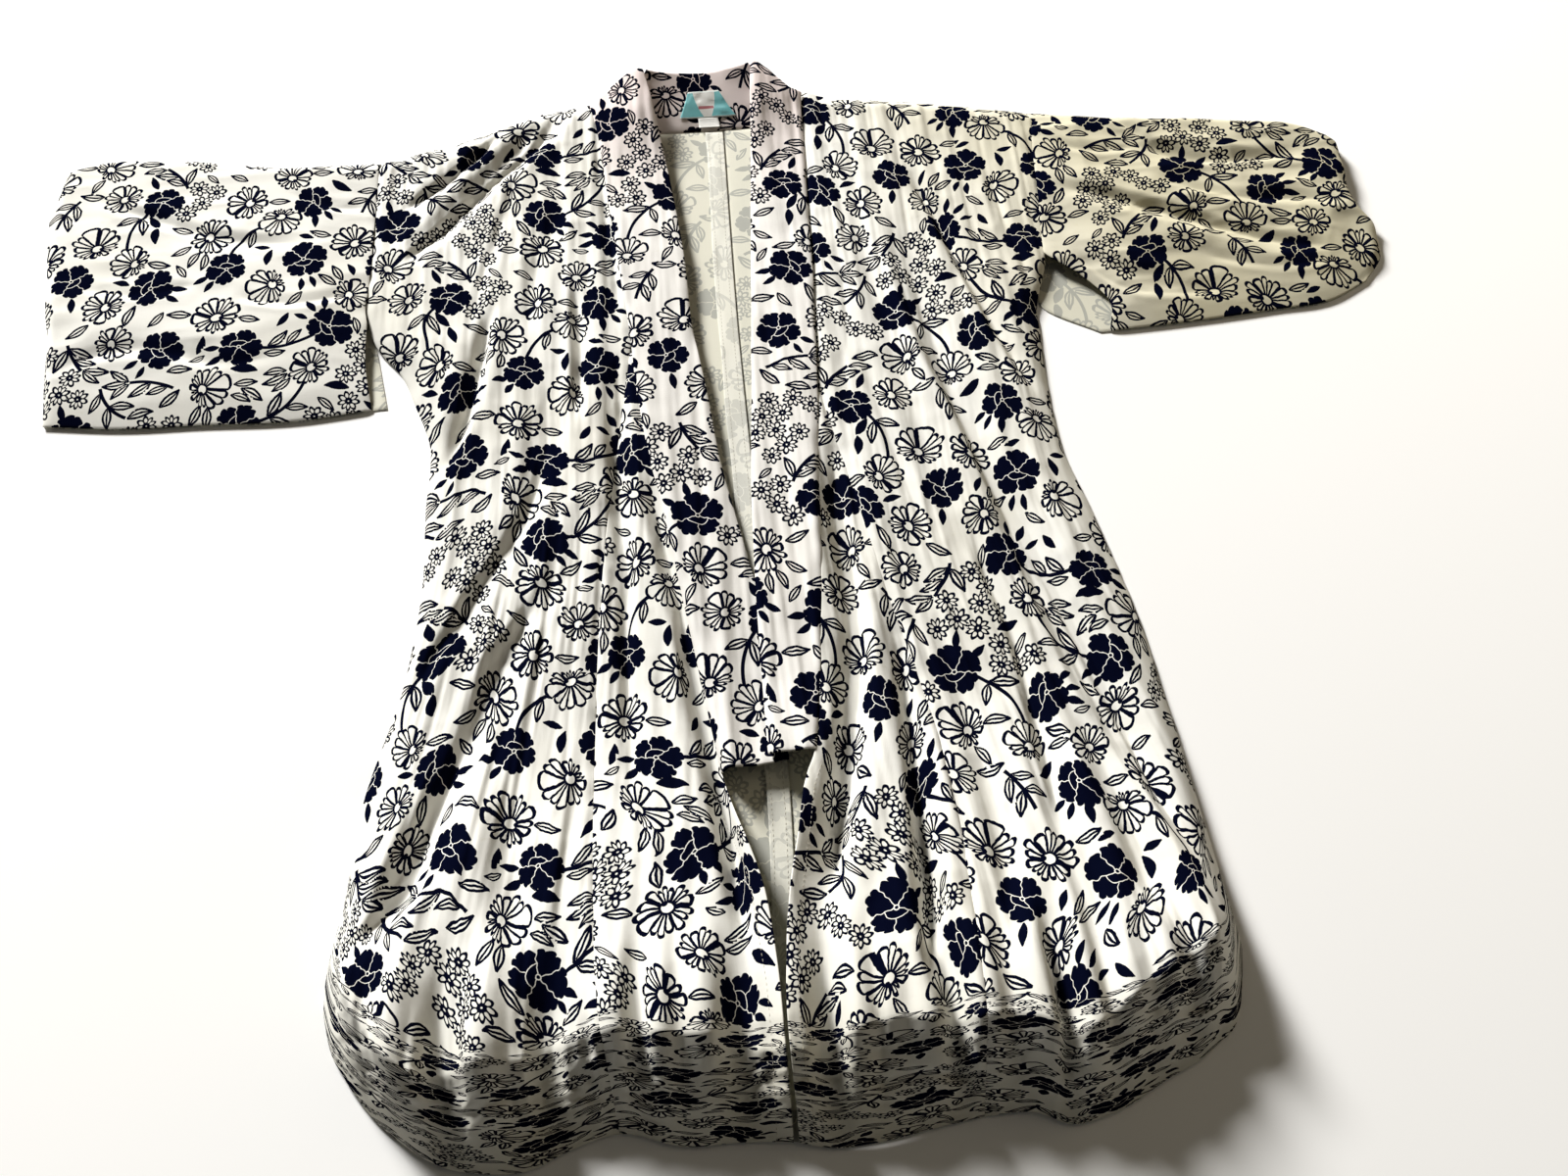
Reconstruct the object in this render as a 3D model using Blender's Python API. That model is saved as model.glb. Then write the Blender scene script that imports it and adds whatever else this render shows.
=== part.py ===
# A cotton kimono robe laid out face up on a flat surface, in metres, +Z up, head towards +Y.
# Every piece of cloth is a thin wall: a plan worked out from the robe's edges, raised by one
# shared height that carries the folds, so that neighbours follow each other at their seams.

import bpy
import bmesh
import numpy as np

# Driving sizes
WALL = 0.0015            # one layer of cloth with its turned edges
BAND_WALL = 0.003        # the collar band is folded double
SEAM_GAP = 0.0003        # neighbours stay this far apart
BODY_FULLNESS = 0.010    # how high the front stands over the back at the waist
HEM_FULLNESS = 0.046     # and where it bunches up just above the hem
HEM_RUN = 0.066          # how far the front takes to come down to the hem
SLEEVE_FULLNESS = 0.013  # height of the sleeves' upper layer
NECK_RISE = 0.018        # how much the collar stands up beside the neck
BAND_LIFT = 0.0012       # the collar band's top over that of the cloth beside it
CROSSING_LIFT = 0.0030   # the right front lies over the left one
CROSSING_SINK = 0.0050   # and the left one sinks under it
NECK_LINE = 0.9220       # where the back's neckline and the collar band's seam meet
NECK_BAND_STAND = 0.0268 # how high the band's free edge stands behind the neck
NECK_BAND_DEPTH = 0.0620 # and how far behind its seam
ALLOWANCE_WIDTH = 0.018  # the turned edge of the centre back seam
ALLOWANCE_WALL = 0.0010
LABEL_WALL = 0.0008
TAB_WALL = 0.0010
ORIGIN_X = -0.00350      # the middle of the laid-out robe, in the plan's own numbers
ORIGIN_Y = 0.46203
LAID_TOP = 2 * WALL + SEAM_GAP   # top of an upper layer that lies on a lower one

# Plan of the edges: y runs up the robe from the hem line, x across it
SIDE_LEFT = (            # y, x of the left side edge, armhole to hem
    (0.905, -0.3400), (0.760, -0.3400), (0.700, -0.3400), (0.660, -0.3280), (0.630, -0.3060),
    (0.600, -0.2940),
    (0.550, -0.2770), (0.485, -0.2780), (0.407, -0.2780), (0.317, -0.2890), (0.210, -0.3180),
    (0.135, -0.3265), (0.085, -0.3355), (0.050, -0.3355),
)
SIDE_RIGHT = (           # y, x of the right side edge
    (0.905, 0.3380), (0.850, 0.3325), (0.785, 0.3260), (0.740, 0.3215), (0.720, 0.3195),
    (0.690, 0.3115), (0.660, 0.3030), (0.630, 0.3010),
    (0.560, 0.2970), (0.508, 0.2970), (0.434, 0.3110), (0.336, 0.3290), (0.245, 0.3380),
    (0.161, 0.3435), (0.098, 0.3475), (0.053, 0.3500), (0.025, 0.3490),
)
SHOULDER = (             # x, y of the fold over the shoulders
    (-0.340, 0.904), (-0.298, 0.914), (-0.248, 0.928), (-0.207, 0.946), (-0.166, 0.960),
    (-0.122, 0.957), (0.098, 0.952), (0.132, 0.954), (0.187, 0.947), (0.262, 0.933), (0.338, 0.916),
)
HEM = (                  # x, y of the wavy hem
    (-0.338, 0.070), (-0.330, 0.038), (-0.317, 0.014), (-0.298, -0.011), (-0.276, -0.031),
    (-0.250, -0.048), (-0.218, -0.057), (-0.185, -0.058), (-0.157, -0.048), (-0.120, -0.040),
    (-0.076, -0.052), (-0.032, -0.053), (0.000, -0.056), (0.030, -0.062), (0.064, -0.061),
    (0.100, -0.056), (0.144, -0.051), (0.176, -0.052), (0.198, -0.061), (0.230, -0.057),
    (0.274, -0.038), (0.314, -0.019), (0.338, 0.006), (0.350, 0.045),
)
BAND_LEFT = (            # y, x of the sewn outer edge, x of the free inner edge
    (0.985, -0.1300, -0.0640), (0.945, -0.1200, -0.0570), (0.880, -0.1110, -0.0480),
    (0.824, -0.1060, -0.0415), (0.742, -0.0980, -0.0345), (0.645, -0.0890, -0.0300),
    (0.586, -0.0850, -0.0220), (0.514, -0.0765, -0.0150), (0.453, -0.0660, -0.0050),
    (0.382, -0.0560, 0.0080), (0.300, -0.0440, 0.0180), (0.216, -0.0320, 0.0230),
)
BAND_RIGHT = (           # y, x of the free inner edge, x of the sewn outer edge
    (0.985, 0.0500, 0.1080), (0.945, 0.0470, 0.1000), (0.880, 0.0425, 0.0970),
    (0.819, 0.0380, 0.0940), (0.730, 0.0315, 0.0905), (0.656, 0.0265, 0.0860),
    (0.584, 0.0210, 0.0810), (0.461, 0.0120, 0.0715), (0.380, 0.0085, 0.0650),
    (0.304, 0.0075, 0.0560), (0.226, 0.0070, 0.0450),
)
OKUMI_LEFT = (           # y, x of the seam to the left front, x of the free front edge
    (0.645, -0.0890, -0.0890), (0.540, -0.1050, -0.0790), (0.426, -0.1190, -0.0620),
    (0.320, -0.1280, -0.0470), (0.216, -0.1320, -0.0320), (0.180, -0.1325, -0.0240),
    (0.121, -0.1320, -0.0070), (0.061, -0.1300, -0.0010), (0.005, -0.1240, 0.0000),
    (-0.056, -0.1200, 0.0010),
)
OKUMI_RIGHT = (          # y, x of the free front edge, x of the seam to the right front
    (0.584, 0.0810, 0.0810), (0.480, 0.0730, 0.1000), (0.367, 0.0635, 0.1190),
    (0.290, 0.0540, 0.1340), (0.226, 0.0450, 0.1440), (0.200, 0.0345, 0.1460),
    (0.162, 0.0265, 0.1480), (0.113, 0.0150, 0.1470), (0.048, 0.0060, 0.1440),
    (-0.056, 0.0060, 0.1380),
)
CENTRE_BACK = (          # y, x of the centre back seam
    (0.925, 0.0150), (0.657, 0.0125), (0.458, 0.0150), (0.168, 0.0205), (0.082, 0.0160),
    (-0.060, 0.0100),
)
SLEEVE_LEFT = dict(      # corners and edges of the left sleeve, laid square
    shoulder=((-0.3403, 0.904), (-0.428, 0.903), (-0.528, 0.920), (-0.629, 0.925), (-0.6625, 0.915)),
    bottom=((-0.3250, 0.596), (-0.400, 0.589), (-0.490, 0.592), (-0.562, 0.594), (-0.633, 0.603)),
    cuff=((0.915, -0.6625), (0.855, -0.6640), (0.754, -0.6510), (0.637, -0.6385), (0.603, -0.6330)),
    upper_inner=((0.900, -0.3403), (0.760, -0.3403), (0.700, -0.3403), (0.645, -0.3400),
                 (0.596, -0.3330)),
    lower_inner=((0.900, -0.3403), (0.760, -0.3403), (0.700, -0.3403), (0.645, -0.3285),
                 (0.596, -0.3190)),
)
SLEEVE_RIGHT = dict(     # the right sleeve is crumpled and pulled up
    shoulder=((0.3383, 0.916), (0.441, 0.898), (0.541, 0.886), (0.625, 0.866), (0.648, 0.850)),
    bottom=((0.3700, 0.626), (0.432, 0.629), (0.531, 0.637), (0.595, 0.645), (0.632, 0.664)),
    cuff=((0.850, 0.6480), (0.806, 0.6465), (0.772, 0.6425), (0.750, 0.6450), (0.732, 0.6560),
          (0.712, 0.6570), (0.690, 0.6540), (0.664, 0.6320)),
    upper_inner=((0.905, 0.3380), (0.850, 0.3325), (0.785, 0.3260), (0.740, 0.3215), (0.720, 0.3200),
                 (0.690, 0.3520), (0.660, 0.3740), (0.626, 0.3700)),
    lower_inner=((0.905, 0.3380), (0.850, 0.3325), (0.785, 0.3260), (0.740, 0.3215), (0.720, 0.3200),
                 (0.690, 0.3140), (0.660, 0.3100), (0.626, 0.3600)),
)

# Troughs that run down the robe: y and x of the top, the middle and the lower end, the depth as a
# share of the fullness, and the half widths to the left and to the right of the trough's line
TROUGHS = (
    (0.950, -0.160, 0.840, -0.245, 0.750, -0.311, 0.75, 0.012, 0.020),
    (0.930, -0.215, 0.880, -0.257, 0.824, -0.312, 0.40, 0.009, 0.011),
    (0.705, -0.221, 0.610, -0.237, 0.500, -0.264, 0.65, 0.010, 0.008),
    (0.640, -0.172, 0.476, -0.186, 0.283, -0.296, 0.70, 0.008, 0.017),
    (0.418, -0.163, 0.257, -0.236, 0.077, -0.306, 0.80, 0.009, 0.021),
    (0.730, -0.143, 0.631, -0.138, 0.545, -0.143, 0.55, 0.008, 0.008),
    (0.640, -0.112, 0.430, -0.106, 0.180, -0.102, 0.60, 0.009, 0.010),
    (0.520, -0.079, 0.300, -0.048, 0.050, -0.014, 0.60, 0.010, 0.008),
    (0.560, 0.088, 0.340, 0.090, 0.070, 0.036, 0.85, 0.017, 0.012),
    (0.820, 0.172, 0.500, 0.220, 0.060, 0.332, 0.80, 0.009, 0.023),
    (0.880, 0.190, 0.700, 0.242, 0.520, 0.294, 0.60, 0.009, 0.010),
    (0.450, 0.193, 0.300, 0.221, 0.120, 0.228, 0.45, 0.009, 0.010),
    (0.400, 0.112, 0.220, 0.123, 0.010, 0.107, 0.55, 0.010, 0.009),
    (0.860, 0.128, 0.600, 0.160, 0.330, 0.196, 0.35, 0.010, 0.011),
    (0.840, -0.150, 0.740, -0.178, 0.640, -0.197, 0.30, 0.011, 0.010),
    (0.330, -0.205, 0.200, -0.200, 0.060, -0.182, 0.30, 0.013, 0.013),
    (0.300, 0.168, 0.180, 0.178, 0.050, 0.180, 0.32, 0.012, 0.012),
    (0.260, 0.262, 0.160, 0.276, 0.050, 0.285, 0.30, 0.012, 0.012),
)
# Troughs that run across the sleeves: x and y of one end, the middle and the other end, the depth
# as a share of the sleeve's fullness, and the half widths below and above the line
CROSS_TROUGHS = (
    (0.348, 0.800, 0.450, 0.762, 0.600, 0.706, 0.60, 0.017, 0.013),
    (0.400, 0.866, 0.500, 0.828, 0.610, 0.812, 0.55, 0.012, 0.015),
    (0.345, 0.722, 0.400, 0.684, 0.500, 0.664, 0.55, 0.009, 0.012),
    (-0.600, 0.860, -0.500, 0.800, -0.420, 0.780, 0.25, 0.012, 0.014),
    (-0.640, 0.660, -0.560, 0.680, -0.450, 0.650, 0.25, 0.012, 0.012),
)
# Gathers where the front turns down to the hem: x, share of the hem's fullness, half width
GATHERS = (
    (-0.306, 0.10, 0.013), (-0.270, 0.16, 0.014), (-0.239, -0.12, 0.013), (-0.208, 0.17, 0.014),
    (-0.166, -0.12, 0.016), (-0.120, 0.15, 0.013), (-0.100, -0.10, 0.009), (-0.085, 0.13, 0.009),
    (-0.054, 0.14, 0.013), (-0.026, -0.10, 0.012), (0.013, 0.08, 0.012), (0.034, -0.10, 0.012),
    (0.055, 0.14, 0.010), (0.078, 0.12, 0.010), (0.101, 0.13, 0.011), (0.122, -0.10, 0.010),
    (0.144, 0.17, 0.012), (0.183, 0.12, 0.013), (0.199, -0.12, 0.010), (0.215, 0.14, 0.010),
    (0.247, 0.12, 0.012), (0.277, 0.12, 0.012), (0.310, 0.10, 0.012),
)


def along(rows, at, column=1):
    """Read one column of a table at the given places, on a smooth curve through its rows."""
    table = np.array(sorted(rows))
    key, value = table[:, 0], table[:, column]
    slope = np.gradient(value, key)
    at = np.clip(np.asarray(at, float), key[0], key[-1])
    low = np.clip(np.searchsorted(key, at) - 1, 0, len(key) - 2)
    step = key[low + 1] - key[low]
    t = (at - key[low]) / step
    return (value[low] * (1 + 2 * t) * (1 - t) ** 2 + value[low + 1] * t * t * (3 - 2 * t)
            + slope[low] * step * t * (1 - t) ** 2 - slope[low + 1] * step * t * t * (1 - t))


def soft_step(value, start, stop):
    """Rise smoothly from 0 at start to 1 at stop."""
    t = np.clip((value - start) / (stop - start), 0, 1)
    return t * t * (3 - 2 * t)


def rounded(distance, run):
    """Rise from 0 at an edge to 1 at the end of the run, steep at the edge and level at the top."""
    return np.sin(np.clip(distance / run, 0, 1) * np.pi / 2) ** 0.9


def trough(across, line, key, start, end, below, above):
    """A soft trough on a line, fading out at both ends, with low ridges beside it."""
    middle, reach = (start + end) / 2, abs(start - end) / 2
    fade = 1 - soft_step(np.abs(key - middle), 0.45 * reach, reach)
    q = (across - line) / np.where(across < line, below, above)
    return fade * (np.exp(-q * q) - 0.28 * np.exp(-(np.abs(q) - 1.9) ** 2))


def folds(x, y):
    """Share of the fullness that is left once the lengthwise troughs are pressed in."""
    left = np.ones_like(x)
    for top, x_top, mid, x_mid, low, x_low, depth, to_left, to_right in TROUGHS:
        line = along(((low, x_low), (mid, x_mid), (top, x_top)), y)
        left = left - depth * trough(x, line, y, top, low, to_left, to_right)
    return np.clip(left, 0.12, 1.45)


def cross_folds(x, y):
    """The same for the troughs across the sleeves."""
    left = np.ones_like(x)
    for start, y_start, mid, y_mid, end, y_end, depth, below, above in CROSS_TROUGHS:
        line = along(((start, y_start), (mid, y_mid), (end, y_end)), x)
        left = left - depth * trough(y, line, x, start, end, below, above)
    return np.clip(left, 0.15, 1.4)


def gathers(x, y):
    """Uneven waves of the front where it turns down to the hem."""
    wave = np.zeros_like(x)
    for middle, share, half_width in GATHERS:
        wave = wave + share * np.exp(-((x - middle) / half_width) ** 2)
    return wave * (1 - soft_step(y, 0.02, 0.13))


def front_height(x, y):
    """Height of the front's upper face: fullness with folds, coming down at every outer edge."""
    fullness = BODY_FULLNESS + (HEM_FULLNESS - BODY_FULLNESS) * (1 - soft_step(y, 0.0, 0.30))
    over_side = rounded(np.minimum(x - along(SIDE_LEFT, y), along(SIDE_RIGHT, y) - x), 0.034)
    armhole = soft_step(y, 0.64, 0.72)
    over_side = over_side + (1 - over_side) * armhole * 0.9
    over_hem = np.clip((y - along(HEM, x)) / HEM_RUN, 0, 1)
    over_hem = over_hem * (1.55 - 0.55 * over_hem)
    near_neck = 1 - soft_step(np.abs(x + 0.007), 0.10, 0.15)
    over_shoulder = rounded(along(SHOULDER, x) - y, 0.022)
    over_shoulder = over_shoulder + (1 - over_shoulder) * near_neck
    neck = np.exp(-((np.abs(x + 0.007) - 0.057) / 0.045) ** 2) * soft_step(y, 0.85, 0.975)
    shape = fullness * (folds(x, y) + gathers(x, y)) * over_side * over_hem * over_shoulder
    return LAID_TOP + np.maximum(shape, 0) + NECK_RISE * neck


def right_height(x, y):
    """The right front crosses over the left one, so it lies higher beside the middle."""
    crossing = (1 - soft_step(x, 0.045, 0.110)) * soft_step(y, 0.19, 0.25)
    return front_height(x, y) + CROSSING_LIFT * crossing * (1 - soft_step(y, 0.46, 0.60))


def left_height(x, y):
    """The left front sinks towards its free edges, under the right one."""
    sink = soft_step(x, -0.045, 0.010) * (1 - soft_step(y, 0.50, 0.64)) * soft_step(y, 0.09, 0.19)
    return front_height(x, y) - CROSSING_SINK * sink


def sleeve_height(shoulder, bottom, cuff, side):
    """Height of a sleeve's upper layer, which comes down at the shoulder fold and at the seam."""
    def height(x, y):
        over_edges = rounded(np.minimum(along(shoulder, x) - y, y - along(bottom, x)), 0.030)
        to_cuff = side * (along(cuff, y) - x)
        mouth = soft_step(y, 0.69, 0.74) * (1 - soft_step(y, 0.84, 0.90))
        over_cuff = rounded(to_cuff, 0.020)
        over_cuff = over_cuff + (1 - over_cuff) * 0.75 * mouth
        joined = 1 - soft_step(side * x, 0.34, 0.40)
        fullness = SLEEVE_FULLNESS + (BODY_FULLNESS - SLEEVE_FULLNESS) * joined
        return LAID_TOP + fullness * cross_folds(x, y) * over_edges * over_cuff
    return height


def wall_depth(height, x, y, wall):
    """How far down the under face lies, so that a sloping wall keeps its thickness."""
    reach = 0.002
    slope_x = (height(x + reach, y) - height(x - reach, y)) / (2 * reach)
    slope_y = (height(x, y + reach) - height(x, y - reach)) / (2 * reach)
    return wall * np.minimum(np.sqrt(1 + slope_x ** 2 + slope_y ** 2), 1.5)


def spread(amount, start_run, end_run):
    """Places from 0 to 1, closer together near the start or the end by the given strengths."""
    t = np.linspace(0, 1, amount)
    return t + start_run * t * (1 - t) * (t - 1) + end_run * t * (1 - t) * t


def plan_between(outer, inner, top, bottom):
    """A plan whose rows run between two side edges and whose columns run between top and bottom.

    outer and inner give x at y; top and bottom give y at x. v is 0 at the top and 1 at the bottom.
    """
    def corner(edge, cross, guess):
        y = guess
        for _ in range(6):
            y = float(cross(edge(y)))
        return y

    def plan(u, v):
        outer_y = corner(outer, top, 0.9) * (1 - v) + corner(outer, bottom, 0.0) * v
        inner_y = corner(inner, top, 0.9) * (1 - v) + corner(inner, bottom, 0.0) * v
        x = outer(outer_y) * (1 - u) + inner(inner_y) * u
        top_x = outer(corner(outer, top, 0.9)) * (1 - u) + inner(corner(inner, top, 0.9)) * u
        low_x = outer(corner(outer, bottom, 0.0)) * (1 - u) + inner(corner(inner, bottom, 0.0)) * u
        return x, top(top_x) * (1 - v) + bottom(low_x) * v
    return plan


def cloth_material(name, colour, roughness):
    material = bpy.data.materials.new(name)
    material.use_nodes = True
    shader = material.node_tree.nodes["Principled BSDF"]
    shader.inputs["Base Color"].default_value = (*colour, 1)
    shader.inputs["Roughness"].default_value = roughness
    shader.inputs["Metallic"].default_value = 0
    return material


def wall_piece(name, top_points, under_points, columns, rows, material, collection):
    """Turn a grid of upper points and one of under points into a closed wall."""
    mesh = bpy.data.meshes.new(name)
    form = bmesh.new()
    bmesh.ops.create_grid(form, x_segments=columns - 1, y_segments=rows - 1, size=0.5)
    form.verts.ensure_lookup_table()
    plain = np.array([vert.co[:2] for vert in form.verts]) + 0.5
    column = np.rint(plain[:, 0] * (columns - 1)).astype(int)
    row = np.rint(plain[:, 1] * (rows - 1)).astype(int)
    for vert, i, j in zip(form.verts, column, row):
        vert.co = top_points[j, i]
    lower = {vert: under_points[j, i] for vert, i, j in zip(form.verts, column, row)}
    upper = list(form.verts)
    copy = bmesh.ops.duplicate(form, geom=form.faces[:])
    for old in upper:
        copy["vert_map"][old].co = lower[old]
    edges = [edge for edge in form.edges if edge.is_boundary]
    bmesh.ops.bridge_loops(form, edges=edges)
    bmesh.ops.triangulate(form, faces=form.faces[:])
    bmesh.ops.recalc_face_normals(form, faces=form.faces[:])
    form.to_mesh(mesh)
    form.free()
    mesh.shade_smooth()
    mesh.set_sharp_from_angle(angle=np.radians(50))
    mesh.materials.append(material)
    piece = bpy.data.objects.new(name, mesh)
    collection.objects.link(piece)
    return piece


def standing(points):
    """Move plan coordinates to the part's own frame, with its origin under the robe's middle."""
    return points - np.array([ORIGIN_X, ORIGIN_Y, 0.0])


def cloth_panel(name, plan, height, wall, columns_at, rows_at, material, collection,
                lowest=WALL + SEAM_GAP):
    """A panel: its plan raised by a height, with a wall under it that stays over the lowest level."""
    u, v = np.meshgrid(columns_at, rows_at)
    x, y = plan(u, v)
    z = height(x, y)
    under_z = np.maximum(z - wall_depth(height, x, y, wall), lowest)
    top = standing(np.stack([x, y, z], -1))
    under = standing(np.stack([x, y, under_z], -1))
    return wall_piece(name, top, under, len(columns_at), len(rows_at), material, collection)


def flat_height(level):
    def height(x, y):
        return np.full_like(x, level)
    return height


def edge(rows, column=1, shift=0.0):
    def at(y):
        return along(rows, y, column) + shift
    return at


def level_line(level):
    def at(x):
        return np.full_like(np.asarray(x, float), level)
    return at


def side_and_band(seam, band, join, seam_column, band_column, shift):
    """The inner edge of a front: the collar band above the join, the overlap's seam below it."""
    def at(y):
        y = np.asarray(y, float)
        return np.where(y > join, along(band, y, band_column), along(seam, y, seam_column)) + shift
    return at


def build_backs(collection, material):
    seam_left = edge(CENTRE_BACK, shift=-SEAM_GAP / 2)
    seam_right = edge(CENTRE_BACK, shift=SEAM_GAP / 2)

    def top(x):
        under_collar = 1 - soft_step(np.abs(np.asarray(x) + 0.004), 0.104, 0.122)
        shoulder = along(SHOULDER, x)
        return shoulder * (1 - under_collar) + NECK_LINE * under_collar

    bottom = edge(HEM)
    for name, outer, inner in (("back_left", edge(SIDE_LEFT), seam_left),
                               ("back_right", edge(SIDE_RIGHT), seam_right)):
        plan = plan_between(outer, inner, top, bottom)
        cloth_panel(name, plan, flat_height(WALL), WALL, np.linspace(0, 1, 13),
                    spread(18, 0.1, 0.3), material, collection, lowest=0.0)


def build_fronts(collection, material):
    top, bottom = edge(SHOULDER, shift=-0.0005), edge(HEM)
    inner_left = side_and_band(OKUMI_LEFT, BAND_LEFT, 0.645, 1, 1, -SEAM_GAP)
    inner_right = side_and_band(OKUMI_RIGHT, BAND_RIGHT, 0.584, 2, 2, SEAM_GAP)
    for name, outer, inner, height in (
            ("front_left", edge(SIDE_LEFT), inner_left, left_height),
            ("front_right", edge(SIDE_RIGHT), inner_right, right_height)):
        plan = plan_between(outer, inner, top, bottom)
        cloth_panel(name, plan, height, WALL, np.linspace(0, 1, 20), spread(33, 0.25, 0.75),
                    material, collection)


def build_overlaps(collection, material):
    """The narrow panels that overlap in wear, each with its tip under the collar band."""
    for name, rows, band, seam, free, sewn, inward, height in (
            ("okumi_left", OKUMI_LEFT, BAND_LEFT, 1, 2, 1, 1, left_height),
            ("okumi_right", OKUMI_RIGHT, BAND_RIGHT, 2, 1, 2, -1, right_height)):
        tip, band_end = rows[0][0] - 0.012, band[-1][0]
        free_edge = side_and_band(rows, band, band_end - 0.001, free, sewn, -inward * SEAM_GAP)
        plan = plan_between(edge(rows, seam), free_edge, level_line(tip), edge(HEM))
        free_foot = float(along(HEM, rows[-1][free]))
        at_band_end = (tip - band_end + 0.001) / (tip - free_foot)
        rows_at = np.concatenate([np.linspace(0, at_band_end, 14),
                                  at_band_end + (1 - at_band_end) * spread(16, 0.1, 0.6)[1:]])
        cloth_panel(name, plan, height, WALL, np.linspace(0, 1, 9), rows_at, material, collection)


def build_bands(collection, material):
    """The collar band down both fronts, lying from its sewn edge to its free edge."""
    def left_band(x, y):
        return left_height(x, y) + BAND_LIFT

    def right_band(x, y):
        return right_height(x, y) + BAND_LIFT

    def top_left(x):
        return along(((-0.1300, 0.954), (-0.1200, 0.957), (-0.0640, 0.985), (-0.0500, 0.985)), x)

    def top_right(x):
        return along(((0.0400, 0.986), (0.0500, 0.986), (0.0980, 0.952), (0.1100, 0.952)), x)

    def end_left(x):
        return 0.2160 + 0.10 * (x + 0.032)

    for name, rows, outer, inner, height, top, end in (
            ("collar_left", BAND_LEFT, 1, 2, left_band, top_left, end_left),
            ("collar_right", BAND_RIGHT, 2, 1, right_band, top_right, level_line(0.226))):
        plan = plan_between(edge(rows, outer), edge(rows, inner), top, end)
        cloth_panel(name, plan, height, BAND_WALL, np.linspace(0, 1, 5), np.linspace(0, 1, 37),
                    material, collection)


def neck_band_point(u, v, lift):
    """The band behind the neck: u runs left to right, v from its seam up to its free edge."""
    left = -0.090 + 0.0300 * v
    right = 0.084 - 0.0370 * v
    dip = 1 - 4 * u * (1 - u) * 0.28 * v
    x = left * (1 - u) + right * u
    y = NECK_LINE + 0.0005 + NECK_BAND_DEPTH * v * (1 - 0.10 * u * (1 - u)) + 0.002 * u * v
    z = NECK_BAND_STAND * v ** 1.15 * dip + lift
    return np.stack([x, y, z], -1)


def build_neck(collection, band, label_cloth, label_side):
    u, v = np.meshgrid(np.linspace(0, 1, 13), np.linspace(0, 1, 6))
    top = standing(neck_band_point(u, v, BAND_WALL))
    under = standing(neck_band_point(u, v, 0.0))
    wall_piece("collar_neck", top, under, 13, 6, band, collection)

    # A woven label, wider at its foot, and a short tab under it, both laid on the band's points
    label_foot, label_head = (0.365, 0.690), (0.435, 0.610)
    foot_at, head_at = 0.20, 0.68
    u, v = np.meshgrid(np.linspace(0, 1, 5), np.linspace(foot_at, head_at, 4))
    share = (v - foot_at) / (head_at - foot_at)
    across = (label_foot[0] * (1 - share) + label_head[0] * share) * (1 - u)
    across = across + (label_foot[1] * (1 - share) + label_head[1] * share) * u
    top = standing(neck_band_point(across, v, BAND_WALL + SEAM_GAP + LABEL_WALL))
    under = standing(neck_band_point(across, v, BAND_WALL + SEAM_GAP))
    wall_piece("neck_label", top, under, 5, 4, label_side, collection)

    u, v = np.meshgrid(np.linspace(0.465, 0.590, 3), np.linspace(0.015, 0.185, 3))
    top = standing(neck_band_point(u, v, BAND_WALL + SEAM_GAP + TAB_WALL))
    under = standing(neck_band_point(u, v, BAND_WALL + SEAM_GAP))
    wall_piece("neck_tab", top, under, 3, 3, label_cloth, collection)


def build_allowance(collection, material):
    """The turned edge of the centre back seam, pressed to one side of the seam inside the back."""
    bottom_y, top_y = -0.035, 0.918
    u, v = np.meshgrid(np.linspace(0, 1, 2), np.linspace(0, 1, 16))
    y = bottom_y + (top_y - bottom_y) * v
    x = along(CENTRE_BACK, y) - ALLOWANCE_WIDTH * u
    level = WALL + SEAM_GAP
    top = standing(np.stack([x, y, np.full_like(x, level + ALLOWANCE_WALL)], -1))
    under = standing(np.stack([x, y, np.full_like(x, level)], -1))
    wall_piece("back_seam_allowance", top, under, 2, 16, material, collection)


def beside_body(rows, side):
    """A sleeve's inner edge: sewn to the body down to the armhole's end, then free of it."""
    body = SIDE_RIGHT if side > 0 else SIDE_LEFT

    def at(y):
        y = np.asarray(y, float)
        clear = SEAM_GAP + 0.0020 * (1 - soft_step(y, 0.700, 0.725))
        return side * np.maximum(side * along(rows, y), side * along(body, y) + clear)
    return at


def build_sleeves(collection, material):
    for side, word, rows in ((-1, "left", SLEEVE_LEFT), (1, "right", SLEEVE_RIGHT)):
        cuff = edge(rows["cuff"])
        height = sleeve_height(rows["shoulder"], rows["bottom"], rows["cuff"], side)
        top, bottom = edge(rows["shoulder"]), edge(rows["bottom"])
        upper = plan_between(cuff, beside_body(rows["upper_inner"], side), top, bottom)
        lower = plan_between(cuff, beside_body(rows["lower_inner"], side), top, bottom)
        cloth_panel("sleeve_%s_front" % word, upper, height, WALL, np.linspace(0, 1, 15),
                    np.linspace(0, 1, 18), material, collection)
        cloth_panel("sleeve_%s_back" % word, lower, flat_height(WALL), WALL,
                    np.linspace(0, 1, 9), np.linspace(0, 1, 11), material, collection, lowest=0.0)


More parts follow.
